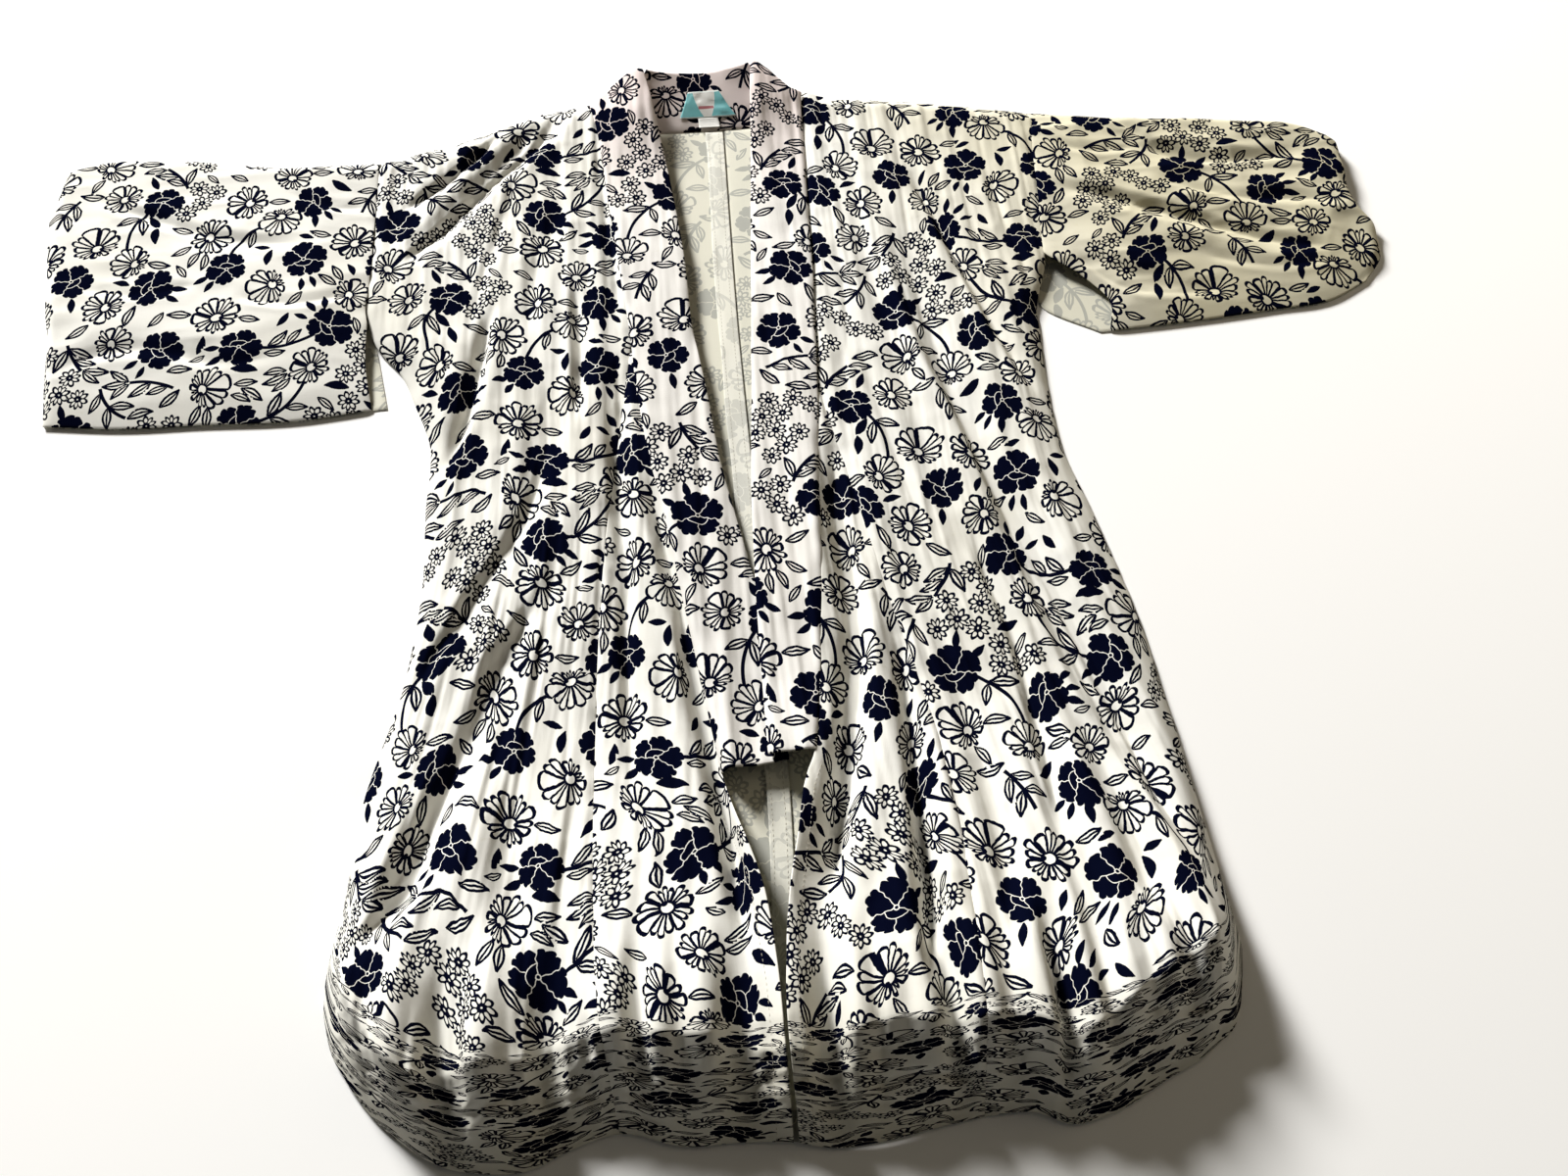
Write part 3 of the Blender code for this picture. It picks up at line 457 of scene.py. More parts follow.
def layOutPrint(p):
    rng = np.random.default_rng(p["seed"])
    around = 2 * np.pi
    discs = np.empty((0, 3))          # everything laid so far: x, y, radius
    kinds = dict(blossom=[], daisy=[], small=[], leaf=[], stem=[])

    def apart(points, others):
        # distance between two sets of discs, rim to rim, over the repeat's edges
        if len(others) == 0:
            return np.full(len(points), 1e3)
        gap = nearestCopy(points[:, None, :2] - others[None, :, :2])
        return (np.hypot(gap[..., 0], gap[..., 1]) - points[:, None, 2] - others[None, :, 2]).min(1)

    def lay(made):
        nonlocal discs
        discs = np.vstack([discs, made])

    def layFlower(kind, disc):
        lay(disc)
        kinds[kind].append((*disc, rng.uniform(0, around), rng.uniform(0.1, 0.9)))

    def leafDiscs(spot, angle, half):
        # a leaf's length in five discs: place along it as a share of its half length, and radius
        steps = np.array([[-0.82, 1.5], [-0.45, 3.1], [0, 3.8], [0.45, 3.1], [0.82, 1.5]])
        return np.column_stack([spot + steps[:, :1] * half * heading(angle), steps[:, 1]])

    def tryLeaf(spot, angle, half, solid, room, first=1, others=None):
        # lays a leaf where there is room; a leaf on something leaves its first disc out
        made = leafDiscs(spot, angle, half)[first:]
        if apart(made, discs if others is None else others).min() <= room:
            return False
        lay(made)
        kinds["leaf"].append((*spot, angle, half, solid + rng.uniform(0.1, 0.9)))
        return True

    # blossoms: each takes the emptiest of a hundred places
    for number in range(p["blossoms"]):
        tries = np.column_stack([rng.uniform(0, printSize, (100, 2)), np.zeros(100)])
        best = tries[np.argmax(apart(tries, discs))].copy()
        best[2] = p["blossom"] * rng.uniform(0.90, 1.08)
        layFlower("blossom", best)
    blossoms = discs.copy()
    # daisies: nearly touching a blossom where one fits, else the emptiest place
    for number in range(p["daisies"]):
        radius = p["daisy"] * rng.uniform(0.88, 1.08)
        host = blossoms[number % len(blossoms)]
        reach = host[2] + radius + 0.2
        tries = host[:2] + reach * heading(rng.uniform(0, around, 60))
        tries = np.column_stack([tries, np.full(60, radius)])
        room = apart(tries, discs)
        if room.max() < 0 or number >= len(blossoms):
            tries = np.column_stack([rng.uniform(0, printSize, (300, 2)), np.full(300, radius)])
            room = apart(tries, discs)
        if room.max() >= 0:
            layFlower("daisy", tries[np.argmax(np.where(room > 0, -np.abs(room - 0.4), -99))])
    heads = discs.copy()
    # stems: arcs from a blossom towards another flower, bulging to one side
    for number in range(p["stems"]):
        start = heads[number % len(blossoms)]
        gap = nearestCopy(heads[:, :2] - start[:2])
        order = np.argsort(np.abs(np.hypot(gap[:, 0], gap[:, 1]) - rng.uniform(62, 84)))
        for target in order[:4]:
            reach = np.hypot(*gap[target])
            if not 54 < reach < 100:
                continue
            bulge = reach * rng.uniform(0.12, 0.24) * rng.choice((-1, 1))
            radius = (reach ** 2 / 4 + bulge ** 2) / (2 * abs(bulge))
            way = gap[target] / reach
            normal = np.array([-way[1], way[0]]) * np.sign(bulge)
            centre = start[:2] + way * reach / 2 - normal * (radius - abs(bulge))
            half = math.asin(min(reach / 2 / radius, 1))
            facing = math.atan2(normal[1], normal[0])
            turn = np.linspace(-half, half, 17)
            path = centre + radius * heading(facing + turn)
            if apart(np.column_stack([path[5:12], np.full(7, 1.0)]), discs).min() < 0.5:
                continue
            lay(np.column_stack([path[4:13], np.full(9, 0.6)]))
            kinds["stem"].append((*centre, radius, facing, half))
            # leaves in pairs along the stem, pointing on along it
            for place in (5, 8, 11):
                for lean in (0.62, -0.62):
                    length = p["leaf"] * rng.uniform(0.72, 1.0)
                    aim = facing + turn[place] + np.pi / 2 + lean + rng.uniform(-0.15, 0.15)
                    foot = path[place] + 1.2 * heading(aim)
                    tryLeaf(foot + length * heading(aim), aim, length, 0, 0.3)
            break
    # small daisies, by choice beside one already there
    small = np.empty((0, 3))
    for number in range(4000):
        if len(small) >= p["smallDaisies"]:
            break
        radius = p["small"] * rng.uniform(0.9, 1.06)
        if len(small) % 4 and number % 60 < 59:
            host = small[-1 - rng.integers(len(small) % 4)]
            spot = host[:2] + heading(rng.uniform(0, around)) * (host[2] + radius + 0.6)
        else:
            spot = rng.uniform(0, printSize)
        place = np.array([*spot, radius])
        if apart(place[None], discs)[0] > 0.4:
            small = np.vstack([small, place])
            layFlower("small", place)
    # fans of leaves that come out from under the heads: dark ones at blossoms, outlined at daisies
    for number, head in enumerate(heads):
        solid = number < len(blossoms)
        for leaves in (3, 2):
            first = rng.uniform(0, around)
            for turn in range(leaves):
                aim = first + 0.46 * turn + rng.uniform(-0.07, 0.07)
                half = p["leaf"] * (rng.uniform(0.50, 0.66) if solid else rng.uniform(0.74, 0.94))
                spot = head[:2] + (head[2] * (0.93 if solid else 0.88) + half) * heading(aim)
                others = discs[np.hypot(*(discs[:, :2] - head[:2]).T) > 1e-6]
                tryLeaf(spot, aim, half, int(solid), 0.1, others=others)
    # sprigs: a short arched stem with leaves at both sides and three at its tip
    laid = 0
    for number in range(600):
        if laid >= p["sprigs"]:
            break
        radius, half = rng.uniform(45, 80), rng.uniform(14, 22)
        half = half / radius
        facing = rng.uniform(0, around)
        centre = rng.uniform(0, printSize) - radius * heading(facing)
        turn = np.linspace(-half, half, 9)
        path = centre + radius * heading(facing + turn)
        if apart(np.column_stack([path, np.full(9, 1.2)]), discs).min() < 0.4:
            continue
        made = []
        for place, lean in ((8, 0.0), (8, 0.66), (8, -0.66), (4, 0.75), (4, -0.75), (1, 0.75),
                            (1, -0.75)):
            length = p["leaf"] * rng.uniform(0.74, 0.98)
            aim = facing + turn[place] + np.pi / 2 + lean + rng.uniform(-0.1, 0.1)
            spot = path[place] + 0.8 * heading(aim) + length * heading(aim)
            if apart(leafDiscs(spot, aim, length)[1:], discs).min() > 0.1:
                made.append((*spot, aim, length, rng.uniform(0.1, 0.9)))
        if len(made) >= 4:
            laid += 1
            for x, y, aim, length, variant in made:
                lay(leafDiscs((x, y), aim, length)[1:])
            lay(np.column_stack([path, np.full(9, 0.8)]))
            kinds["leaf"] += made
            kinds["stem"].append((*centre, radius, facing, half))
    # loose leaves in what is left, two or three from one point
    laid = 0
    for number in range(3000):
        if laid >= p["looseLeaves"]:
            break
        spot = rng.uniform(0, printSize)
        aim, half = rng.uniform(0, around), p["leaf"] * rng.uniform(0.55, 0.95)
        if tryLeaf(spot, aim, half, int(rng.uniform() < 0.25), 0.3, first=0):
            laid += 1
            foot = spot - half * heading(aim)
            for lean in (0.7, -0.7):
                beside = foot + (half + 2) * heading(aim + lean)
                laid += tryLeaf(beside, aim + lean, half * 0.9, 0, 0.2, first=0)
    return {kind: np.array(rows) for kind, rows in kinds.items()}


def ownersOf(layout):
    # for each kind, which of its motifs is nearest at every millimetre of the repeat
    grid = np.stack(np.meshgrid(np.arange(0.5, printSize[0]), np.arange(0.5, printSize[1])), -1)
    owners = {}
    for kind, rows in layout.items():
        best, owners[kind] = np.full(grid.shape[:2], 1e9), np.zeros(grid.shape[:2], int)
        for number, row in enumerate(rows):
            if kind == "stem":      # distance to its arc
                gap = stemGap(grid, row)
                turn = halfTurns(np.arctan2(gap[..., 1], gap[..., 0]) - row[3])
                turn = np.clip(turn, -row[4], row[4]) + row[3]
                gap = gap - row[2] * heading(turn)
                away = np.hypot(gap[..., 0], gap[..., 1])
            elif kind == "leaf":    # distance to its middle line
                gap = nearestCopy(grid - row[:2])
                on = np.clip(gap @ heading(row[2]), -row[3] * 0.8, row[3] * 0.8)
                gap = gap - on[..., None] * heading(row[2])
                away = np.hypot(gap[..., 0], gap[..., 1])
            else:                   # distance to its rim
                gap = nearestCopy(grid - row[:2])
                away = np.hypot(gap[..., 0], gap[..., 1]) - row[2]
            nearer = away < best
            best[nearer], owners[kind][nearer] = away[nearer], number
    return owners


printLayout = layOutPrint(printRepeat)
printOwners = ownersOf(printLayout)
print("print repeat:", {kind: len(rows) for kind, rows in printLayout.items()})


def printCoordinates(uv, quads):
    # each face belongs to one motif of each kind, and its corners hold the cloth's place in that
    # motif's own millimetres: x along it, y across it, and a number for its variant
    corners = uv[quads] * 1000.0
    centre = corners.mean(1)
    cell = np.minimum(np.floor(centre % printSize).astype(int), printSize.astype(int) - 1)
    result = {}
    for kind, rows in printLayout.items():
        row = rows[printOwners[kind][cell[:, 1], cell[:, 0]]]
        if kind == "stem":      # distance from its arc and from its end
            gap = stemGap(centre, row)[:, None] + corners - centre[:, None]
            away = np.hypot(gap[..., 0], gap[..., 1]) - row[:, None, 2]
            turn = halfTurns(np.arctan2(gap[..., 1], gap[..., 0]) - row[:, None, 3])
            beyond = (np.abs(turn) - row[:, None, 4]) * row[:, None, 2]
            result[kind] = np.stack([away, beyond, np.zeros_like(away)], -1)
            continue
        gap = nearestCopy(centre - row[:, :2])[:, None] + corners - centre[:, None]
        turned, full = (2, 3) if kind == "leaf" else (3, 2)
        scale = printRepeat[kind] / row[:, full]
        c, s = np.cos(row[:, turned])[:, None], np.sin(row[:, turned])[:, None]
        local = np.stack([gap[..., 0] * c + gap[..., 1] * s, gap[..., 1] * c - gap[..., 0] * s], -1)
        local = local * scale[:, None, None]
        result[kind] = np.concatenate([local, np.repeat(row[:, None, -1:], 4, 1)], -1)
    return result


def writeMesh(name, points, quads, slots, materials, uv=None, printed=False):
    mesh = bpy.data.meshes.new(name)
    mesh.vertices.add(len(points))
    mesh.vertices.foreach_set("co", np.ascontiguousarray(points, np.float32).ravel())
    mesh.loops.add(quads.size)
    mesh.loops.foreach_set("vertex_index", quads.ravel().astype(np.int32))
    mesh.polygons.add(len(quads))
    mesh.polygons.foreach_set("loop_start", np.arange(0, quads.size, 4, dtype=np.int32))
    mesh.polygons.foreach_set("material_index", slots.astype(np.int32))
    mesh.update(calc_edges=True)
    mesh.validate()
    for material in materials:
        mesh.materials.append(material)
    if uv is not None:
        layer = mesh.uv_layers.new(name="clothMetres")
        layer.data.foreach_set("uv", uv[quads].astype(np.float32).ravel())
    if printed:
        for kind, values in printCoordinates(uv, quads).items():
            attribute = mesh.attributes.new(kind + "At", "FLOAT_VECTOR", "CORNER")
            attribute.data.foreach_set("vector", values.astype(np.float32).ravel())
    mesh.shade_smooth()
    piece = bpy.data.objects.new(name, mesh)
    bpy.context.scene.collection.objects.link(piece)
    return piece


def clothShell(name, points, uv, wall, materials, printed=True, rimLoops=2):
    # a closed shell: the outer grid, the same grid moved inwards by the wall along its normals,
    # and a rim of half-round loops between them; points are moved from the plan to the part's frame
    rows, columns = points.shape[:2]
    points = points - np.array([*robe["origin"], 0.0])
    normal = unit(np.cross(np.gradient(points, axis=1), np.gradient(points, axis=0)))
    normal = -normal if normal[..., 2].mean() < 0 else normal
    inner = points - normal * np.broadcast_to(np.asarray(wall, float), (rows, columns))[..., None]
    index = np.arange(rows * columns).reshape(rows, columns)
    loop = np.concatenate([index[0], index[1:, -1], index[-1, -2::-1], index[-2:0:-1, 0]])
    out = np.zeros_like(points)
    out[0] += points[0] - points[1]
    out[-1] += points[-1] - points[-2]
    out[:, 0] += points[:, 0] - points[:, 1]
    out[:, -1] += points[:, -1] - points[:, -2]
    flatOut, flatNormal, start, end = (values.reshape(-1, 3)[loop]
                                       for values in (out, normal, points, inner))
    flatOut = unit(flatOut - flatNormal * (flatOut * flatNormal).sum(1, keepdims=True))
    half = np.linalg.norm(start - end, axis=1, keepdims=True) / 2
    rims = [(start + end) / 2 + half * (np.cos(turn) * flatNormal + np.sin(turn) * flatOut)
            for turn in np.pi * np.arange(1, rimLoops + 1) / (rimLoops + 1)]
    count, around = rows * columns, len(loop)
    top = np.stack([index[:-1, :-1], index[:-1, 1:], index[1:, 1:], index[1:, :-1]], -1)
    top = top.reshape(-1, 4)
    rings = [loop] + [2 * count + step * around + np.arange(around) for step in range(rimLoops)]
    rings.append(loop + count)
    bands = [np.stack([np.roll(first, -1), first, second, np.roll(second, -1)], -1)
             for first, second in zip(rings[:-1], rings[1:])]
    quads = np.concatenate([top, top[:, ::-1] + count] + bands)
    slots = np.concatenate([np.zeros(len(top)), np.ones(len(top)), np.zeros(around * len(bands))])
    allPoints = np.concatenate([points.reshape(-1, 3), inner.reshape(-1, 3)] + rims)
    flatUv = uv.reshape(-1, 2)
    allUv = np.concatenate([flatUv, flatUv] + [flatUv[loop]] * rimLoops)
    # the outer normals are the ones wanted, so a grid that faces the other way is turned as a whole
    if wrongWay(allPoints, quads, normal.reshape(-1, 3)):
        quads = quads[:, ::-1]
    return writeMesh(name, allPoints, quads, slots, materials, allUv, printed)


def wrongWay(points, quads, normal):
    # whether a face from the middle of the outer grid looks against the outer normal
    middle = quads[(len(normal) // 2) % len(quads)]
    side = np.cross(points[middle[1]] - points[middle[0]], points[middle[3]] - points[middle[0]])
    return float(side @ normal[min(middle[0], len(normal) - 1)]) < 0


def clothUv(points, offset, hemLine=None):
    # place across and down the cloth: the plan's own x and y plus what the folds take up on the way
    # from the last column and the first row; above the hem the cloth is bunched in finer folds
    # than the mesh has, so the print runs faster there
    extra = []
    for axis in (1, 0):
        step = np.diff(points, axis=axis)
        extra.append(lengthOf(step) - lengthOf(step[..., :2]))
    across = np.cumsum(extra[0][:, ::-1], axis=1)[:, ::-1]
    across = np.concatenate([across, np.zeros((len(points), 1))], 1)
    down = np.concatenate([np.zeros((1, points.shape[1])), np.cumsum(extra[1], axis=0)])
    outward = np.sign((points[:, 0, 0] - points[:, -1, 0]).mean())
    v = down - points[..., 1]
    if hemLine is not None:
        toHem = points[..., 1] - along(hemLine, points[..., 0])
        v = v + folds["hemBunch"] * np.clip(robe["hemRun"] * 1.15 - toHem, 0, None)
    return np.stack([outward * points[..., 0] + across + offset[0], v + offset[1]], -1)


def wrapped(points, side, turns=6, under=0.006):
    # turns an edge of the grid over in a half circle down to the floor level and a little way back
    # under; side is "top" for the first row and "side" for the first column
    grid = points if side == "top" else points.transpose(1, 0, 2)
    start = grid[0]
    way = grid[0] - grid[2]
    way[:, 2] = 0
    way = unit(way)
    radius = np.maximum(start[:, 2:3] - robe["floor"], 1e-4) / 2
    rows = []
    for turn in np.linspace(0, np.pi, turns + 1)[1:]:
        spot = start + way * radius * np.sin(turn)
        spot[:, 2] = start[:, 2] - radius[:, 0] * (1 - np.cos(turn))
        rows.append(spot)
    for share in (0.5, 1.0):
        spot = start - way * under * share
        spot[:, 2] = robe["floor"]
        rows.append(spot)
    grid = np.concatenate([np.array(rows[::-1]), grid])
    return grid if side == "top" else grid.transpose(1, 0, 2)


def sewnEdge(points, dips):
    # the cloth dips by dip x exp(-(distance / run)^1.5) at each column named in dips, with puckers
    points = points.copy()
    for column, dip in dips.items():
        away = lengthOf(points[..., :2] - points[:, column:column + 1 or None, :2][:, :1])
        points[..., 2] -= dip * np.exp(-(away / robe["seamRun"]) ** 1.5)
        puckers = softNoise(75 * points[..., 1] + 9 * column, 30 * points[..., 0], 44)
        points[..., 2] += folds["pucker"] * puckers * np.exp(-(away / folds["puckerRun"]) ** 2)
    return points


def lineOnPanel(points, distance, fromLast=True):
    # the line on a panel that keeps a distance from its last or first column
    columns = points.shape[1]
    width = lengthOf(np.diff(points, axis=1)).sum(1)
    place = np.clip(distance / np.maximum(width, 1e-6), 0, 1) * (columns - 1)
    place = (columns - 1 - place) if fromLast else place
    low = np.clip(np.floor(place).astype(int), 0, columns - 2)
    part = (place - low)[:, None]
    row = np.arange(len(points))
    return points[row, low] * (1 - part) + points[row, low + 1] * part


thread = dict(length=0.0026, gap=0.0016, thick=0.00045, lift=0.0002, sink=0.0005)


def stitches(name, path):
    # small threads laid along a path: a six-sided spindle for each stitch, sunk at both ends
    length, halfThick = thread["length"], thread["thick"] / 2
    path = path - np.array([*robe["origin"], 0.0])
    run = np.concatenate([[0], np.cumsum(lengthOf(np.diff(path, axis=0)))])
    middle = np.arange(length, run[-1] - length, length + thread["gap"])
    spot, ahead = (np.stack([np.interp(middle + on, run, path[:, k]) for k in range(3)], 1)
                   for on in (0, 0.001))
    way = unit(ahead - spot)
    across = unit(np.cross(way, [0, 0, 1.0]))
    up = np.cross(across, way)
    rings = np.array([[-0.5, 0.35], [-0.3, 1.0], [0.3, 1.0], [0.5, 0.35]])   # along, thickness
    turn = np.arange(6) * np.pi / 3
    a = np.repeat(rings[:, 0] * length, 6)
    b = np.outer(rings[:, 1] * halfThick, np.sin(turn)).ravel()
    c = np.outer(rings[:, 1] * halfThick, np.cos(turn)).ravel()
    b = b + thread["lift"] - thread["sink"] * (np.abs(a) / length * 2) ** 3
    points = (spot[:, None] + way[:, None] * a[:, None] + up[:, None] * b[:, None]
              + across[:, None] * c[:, None]).reshape(-1, 3)
    ring = np.arange(6)
    after = (ring + 1) % 6
    faces = [6 * k + np.stack([ring, after, after + 6, ring + 6], -1) for k in range(3)]
    faces.append(np.array([[0, 5, 4, 3], [0, 3, 2, 1], [18, 19, 20, 21], [18, 21, 22, 23]]))
    quads = np.concatenate(faces) + 24 * np.arange(len(spot))[:, None, None]
    quads = quads.reshape(-1, 4)[:, ::-1]
    return writeMesh(name, points, quads, np.zeros(len(quads)), [finish["thread"]])


# the yellow tints colour random yellowed patches and flecks, and also painted shade: darker and
# warmer towards the right and along the hem strip
inks = dict(
    ivory=(0.800, 0.785, 0.725), collar=(0.800, 0.775, 0.730), reverse=(0.690, 0.670, 0.565),
    navy=(0.0016, 0.0023, 0.0095), grey=(0.25, 0.26, 0.25), yellowStainAndPaintedShade=(0.545, 0.490, 0.300),
    turned=(0.780, 0.765, 0.680), thread=(0.50, 0.47, 0.40), neck=(0.80, 0.62, 0.60),
    reverseStainAndPaintedShade=(0.56, 0.54, 0.42),
)


def addNode(tree, kind, inputs=(), **settings):
    # a shader node with its settings, and with values or other nodes' outputs in its inputs
    node = tree.nodes.new("ShaderNode" + kind)
    for name, value in settings.items():
        setattr(node, name, value)
    for key, value in inputs.items() if isinstance(inputs, dict) else enumerate(inputs):
        if isinstance(value, bpy.types.NodeSocket):
            tree.links.new(value, node.inputs[key])
        else:
            node.inputs[key].default_value = value
    return node


def sums(operation):
    # a function that adds one Math node of this kind to the tree that its values belong to
    def make(*values, clamp=False):
        tree = next(value.id_data for value in values if isinstance(value, bpy.types.NodeSocket))
        return addNode(tree, "Math", values, operation=operation, use_clamp=clamp).outputs[0]
    return make


add, sub, mul, mulAdd, divide = map(sums, ("ADD", "SUBTRACT", "MULTIPLY", "MULTIPLY_ADD", "DIVIDE"))
power, root, size, largest = map(sums, ("POWER", "SQRT", "ABSOLUTE", "MAXIMUM"))
sine, cosine, turnOf = map(sums, ("SINE", "COSINE", "ARCTAN2"))
over, under, nearest, fraction = map(sums, ("GREATER_THAN", "LESS_THAN", "ROUND", "FRACT"))


def inside(value, limit, soft=0.12):
    # 1 where value is under the limit, over a soft edge
    return mulAdd(sub(limit, value), 1 / soft, 0.5, clamp=True)


def line(value, half):
    return inside(size(value), half)


def reach(x, y):
    return root(add(mul(x, x), mul(y, y)))


def split(vector):
    return addNode(vector.id_data, "SeparateXYZ", (vector,)).outputs


def clothPlace(tree):
    return addNode(tree, "UVMap", uv_map="clothMetres").outputs[0]


def newGroup(name, inputs, outputs, fill):
    # a node group; fill takes its input sockets and gives the values of its outputs
    tree = bpy.data.node_groups.new(name, "ShaderNodeTree")
    for socket, kind in inputs.items():
        tree.interface.new_socket(name=socket, in_out="INPUT", socket_type="NodeSocket" + kind)
    for socket in outputs:
        tree.interface.new_socket(name=socket, in_out="OUTPUT", socket_type="NodeSocketFloat")
    start, end = tree.nodes.new("NodeGroupInput"), tree.nodes.new("NodeGroupOutput")
    for socket, value in zip(outputs, fill(tree, *list(start.outputs)[:len(inputs)])):
        tree.links.new(value, end.inputs[socket])
    return tree


def motifGroup(name, draw):
    # draw takes the place in the motif's own millimetres and its variant, and gives ink and cover
    return newGroup(name, dict(Place="Vector"), ("Ink", "Cover"),
                    lambda tree, place: draw(*split(place)))


def drawBlossom(x, y, variant):
    # a dark flower of five lobed petals, parted by fine pale lines round a bud and a small ring
    low = add(y, 2.0)
    x = mul(x, mulAdd(variant, 0.20, 0.86))
    away = reach(x, low)
    angle = turnOf(low, x)
    bent = mulAdd(sine(mulAdd(variant, 9.0, away)), 0.045, angle)
    petal = size(cosine(mul(bent, 2.5)))
    lobe = size(cosine(mul(bent, 7.5)))
    rim = mulAdd(power(petal, 0.5), 5.0, 14.0)
    rim = mulAdd(power(lobe, 0.5), 2.6, rim)
    rim = mulAdd(sine(mulAdd(variant, 6.3, angle)), 1.3, rim)
    cover = inside(away, rim)
    above = under(size(sub(angle, 1.885)), 0.62)
    seams = mul(inside(mul(mul(away, petal), 0.4), 0.34), over(away, mulAdd(above, 6.4, 1.9)))
    budEdge = mulAdd(sine(mul(angle, 3.0)), 0.7, 8.3)
    bud = mul(line(sub(away, budEdge), 0.34), over(angle, 0.628))
    ring = line(sub(away, 1.75), 0.42)
    return sub(cover, largest(largest(seams, bud), ring), clamp=True), cover


def drawDaisy(x, y, variant, count=16):
    # an outlined flower of uneven long petals in two lengths, an oval eye with a dark blot; some
    # are seen from the side, so their eye lies off the middle
    aside = mulAdd(over(variant, 0.55), 5.2, 3.6)
    high = mul(add(y, aside), 1.10)
    away = reach(x, high)
    angle = turnOf(high, x)
    uneven = mul(sine(mulAdd(angle, 2.0, mul(variant, 11.0))), 0.40)
    uneven = mulAdd(sine(mulAdd(angle, 5.0, mul(variant, 23.0))), 0.22, uneven)
    place = mulAdd(angle, count / (2 * math.pi), uneven)
    number = nearest(place)
    within = size(sub(place, number))
    longer = sine(mulAdd(number, 2 * math.pi * 7 / count, mul(variant, 6.3)))
    rim = mulAdd(longer, 1.6, mulAdd(sine(angle), aside, 20.0))
    beyond = sub(away, sub(rim, mul(power(mul(within, 2.0), 2.6), 3.6)))
    cover = inside(beyond, 1.25)
    sideways = mul(mul(sub(0.5, within), away), 2 * math.pi / count)
    parting = mul(inside(sideways, mulAdd(away, 0.022, 1.05)), cover)
    eye = reach(mul(x, 0.84), high)
    parting = mul(parting, over(eye, 4.8))
    blot = inside(reach(sub(x, 4.2), add(high, 2.0)), 2.3)
    ink = largest(largest(line(beyond, 1.65), parting), largest(line(sub(eye, 4.8), 0.95), blot))
    return ink, cover


def drawSmallDaisy(x, y, variant, count=9):
    # thin round petal loops about a tiny ring
    away, angle = reach(x, y), turnOf(y, x)
    place = mulAdd(angle, count / (2 * math.pi), mul(sine(mulAdd(angle, 2.0, variant)), 0.18))
    sideways = mul(mul(sub(place, nearest(place)), away), 2 * math.pi / count)
    loop = reach(divide(sub(away, 5.7), 3.55), divide(sideways, 1.95))
    return largest(line(sub(loop, 1.0), 0.37), line(sub(away, 1.2), 0.45)), inside(away, 9.5)


def drawLeaf(x, y, variant, half=13.8, loopHalf=9.6):
    # a pointed leaf, outlined with an inner loop, or solid where the variant is over one
    square = mul(x, x)
    lean = mul(sub(fraction(variant), 0.5), 0.028)
    side = size(mulAdd(sub(square, 60.0), lean, y))
    share = sub(1.0, mul(square, 1 / half ** 2), clamp=True)
    beyond = sub(side, mul(power(share, 1.15), mulAdd(x, -0.06, 4.6)))
    cover = mul(inside(beyond, 1.00), under(size(x), half))
    loopShare = sub(1.0, mul(square, 1 / loopHalf ** 2), clamp=True)
    loop = mul(line(sub(side, mul(loopShare, 0.50)), 0.72), under(size(x), loopHalf + 1.0))
    drawn = largest(largest(line(beyond, 1.60), loop), over(variant, 1.0))
    return mul(drawn, cover), cover


def fillPrint(tree):
    # lays the motifs over each other: stems lowest, then leaves, small daisies, daisies, blossoms
    def placeOf(kind):
        return addNode(tree, "Attribute", attribute_name=kind + "At").outputs["Vector"]

    # the hand-cut look: every line wanders by up to half a millimetre
    wander = addNode(tree, "TexNoise", dict(Vector=clothPlace(tree), Scale=260.0, Detail=1.0))
    shift = addNode(tree, "VectorMath", (wander.outputs["Color"], (1.1, 1.1, 0), (-0.55, -0.55, 0)),
                    operation="MULTIPLY_ADD").outputs[0]
    away, beyond, unused = split(placeOf("stem"))
    ink = mul(line(away, 1.65), under(beyond, 0.0))
    for kind, draw in dict(leaf=drawLeaf, small=drawSmallDaisy, daisy=drawDaisy,
                           blossom=drawBlossom).items():
        moved = addNode(tree, "VectorMath", (placeOf(kind), shift), operation="ADD")
        motif = addNode(tree, "Group", dict(Place=moved.outputs[0]),
                        node_tree=motifGroup(kind + "Motif", draw))
        ink = mulAdd(ink, sub(1.0, motif.outputs["Cover"]), motif.outputs["Ink"], clamp=True)
    return ink,


def fillWeave(tree, threads):
    # plain weave with uneven threads: height for the bump, and a light mottling of the colour
    metres = clothPlace(tree)
    x, y, unused = split(metres)
    weave = mul(sine(mul(x, threads)), sine(mul(y, threads)))
    slubs = []
    for stretch in ((900, 60, 1), (60, 900, 1)):
        stretched = addNode(tree, "Mapping", dict(Vector=metres, Scale=stretch)).outputs[0]
        noise = addNode(tree, "TexNoise", dict(Vector=stretched, Scale=1.0, Detail=2.0))
        slubs.append(noise.outputs["Fac"])
    slub = add(*slubs)
    return mulAdd(weave, 0.25, slub), mulAdd(sub(slub, 1.0), 0.9, 0.5, clamp=True)


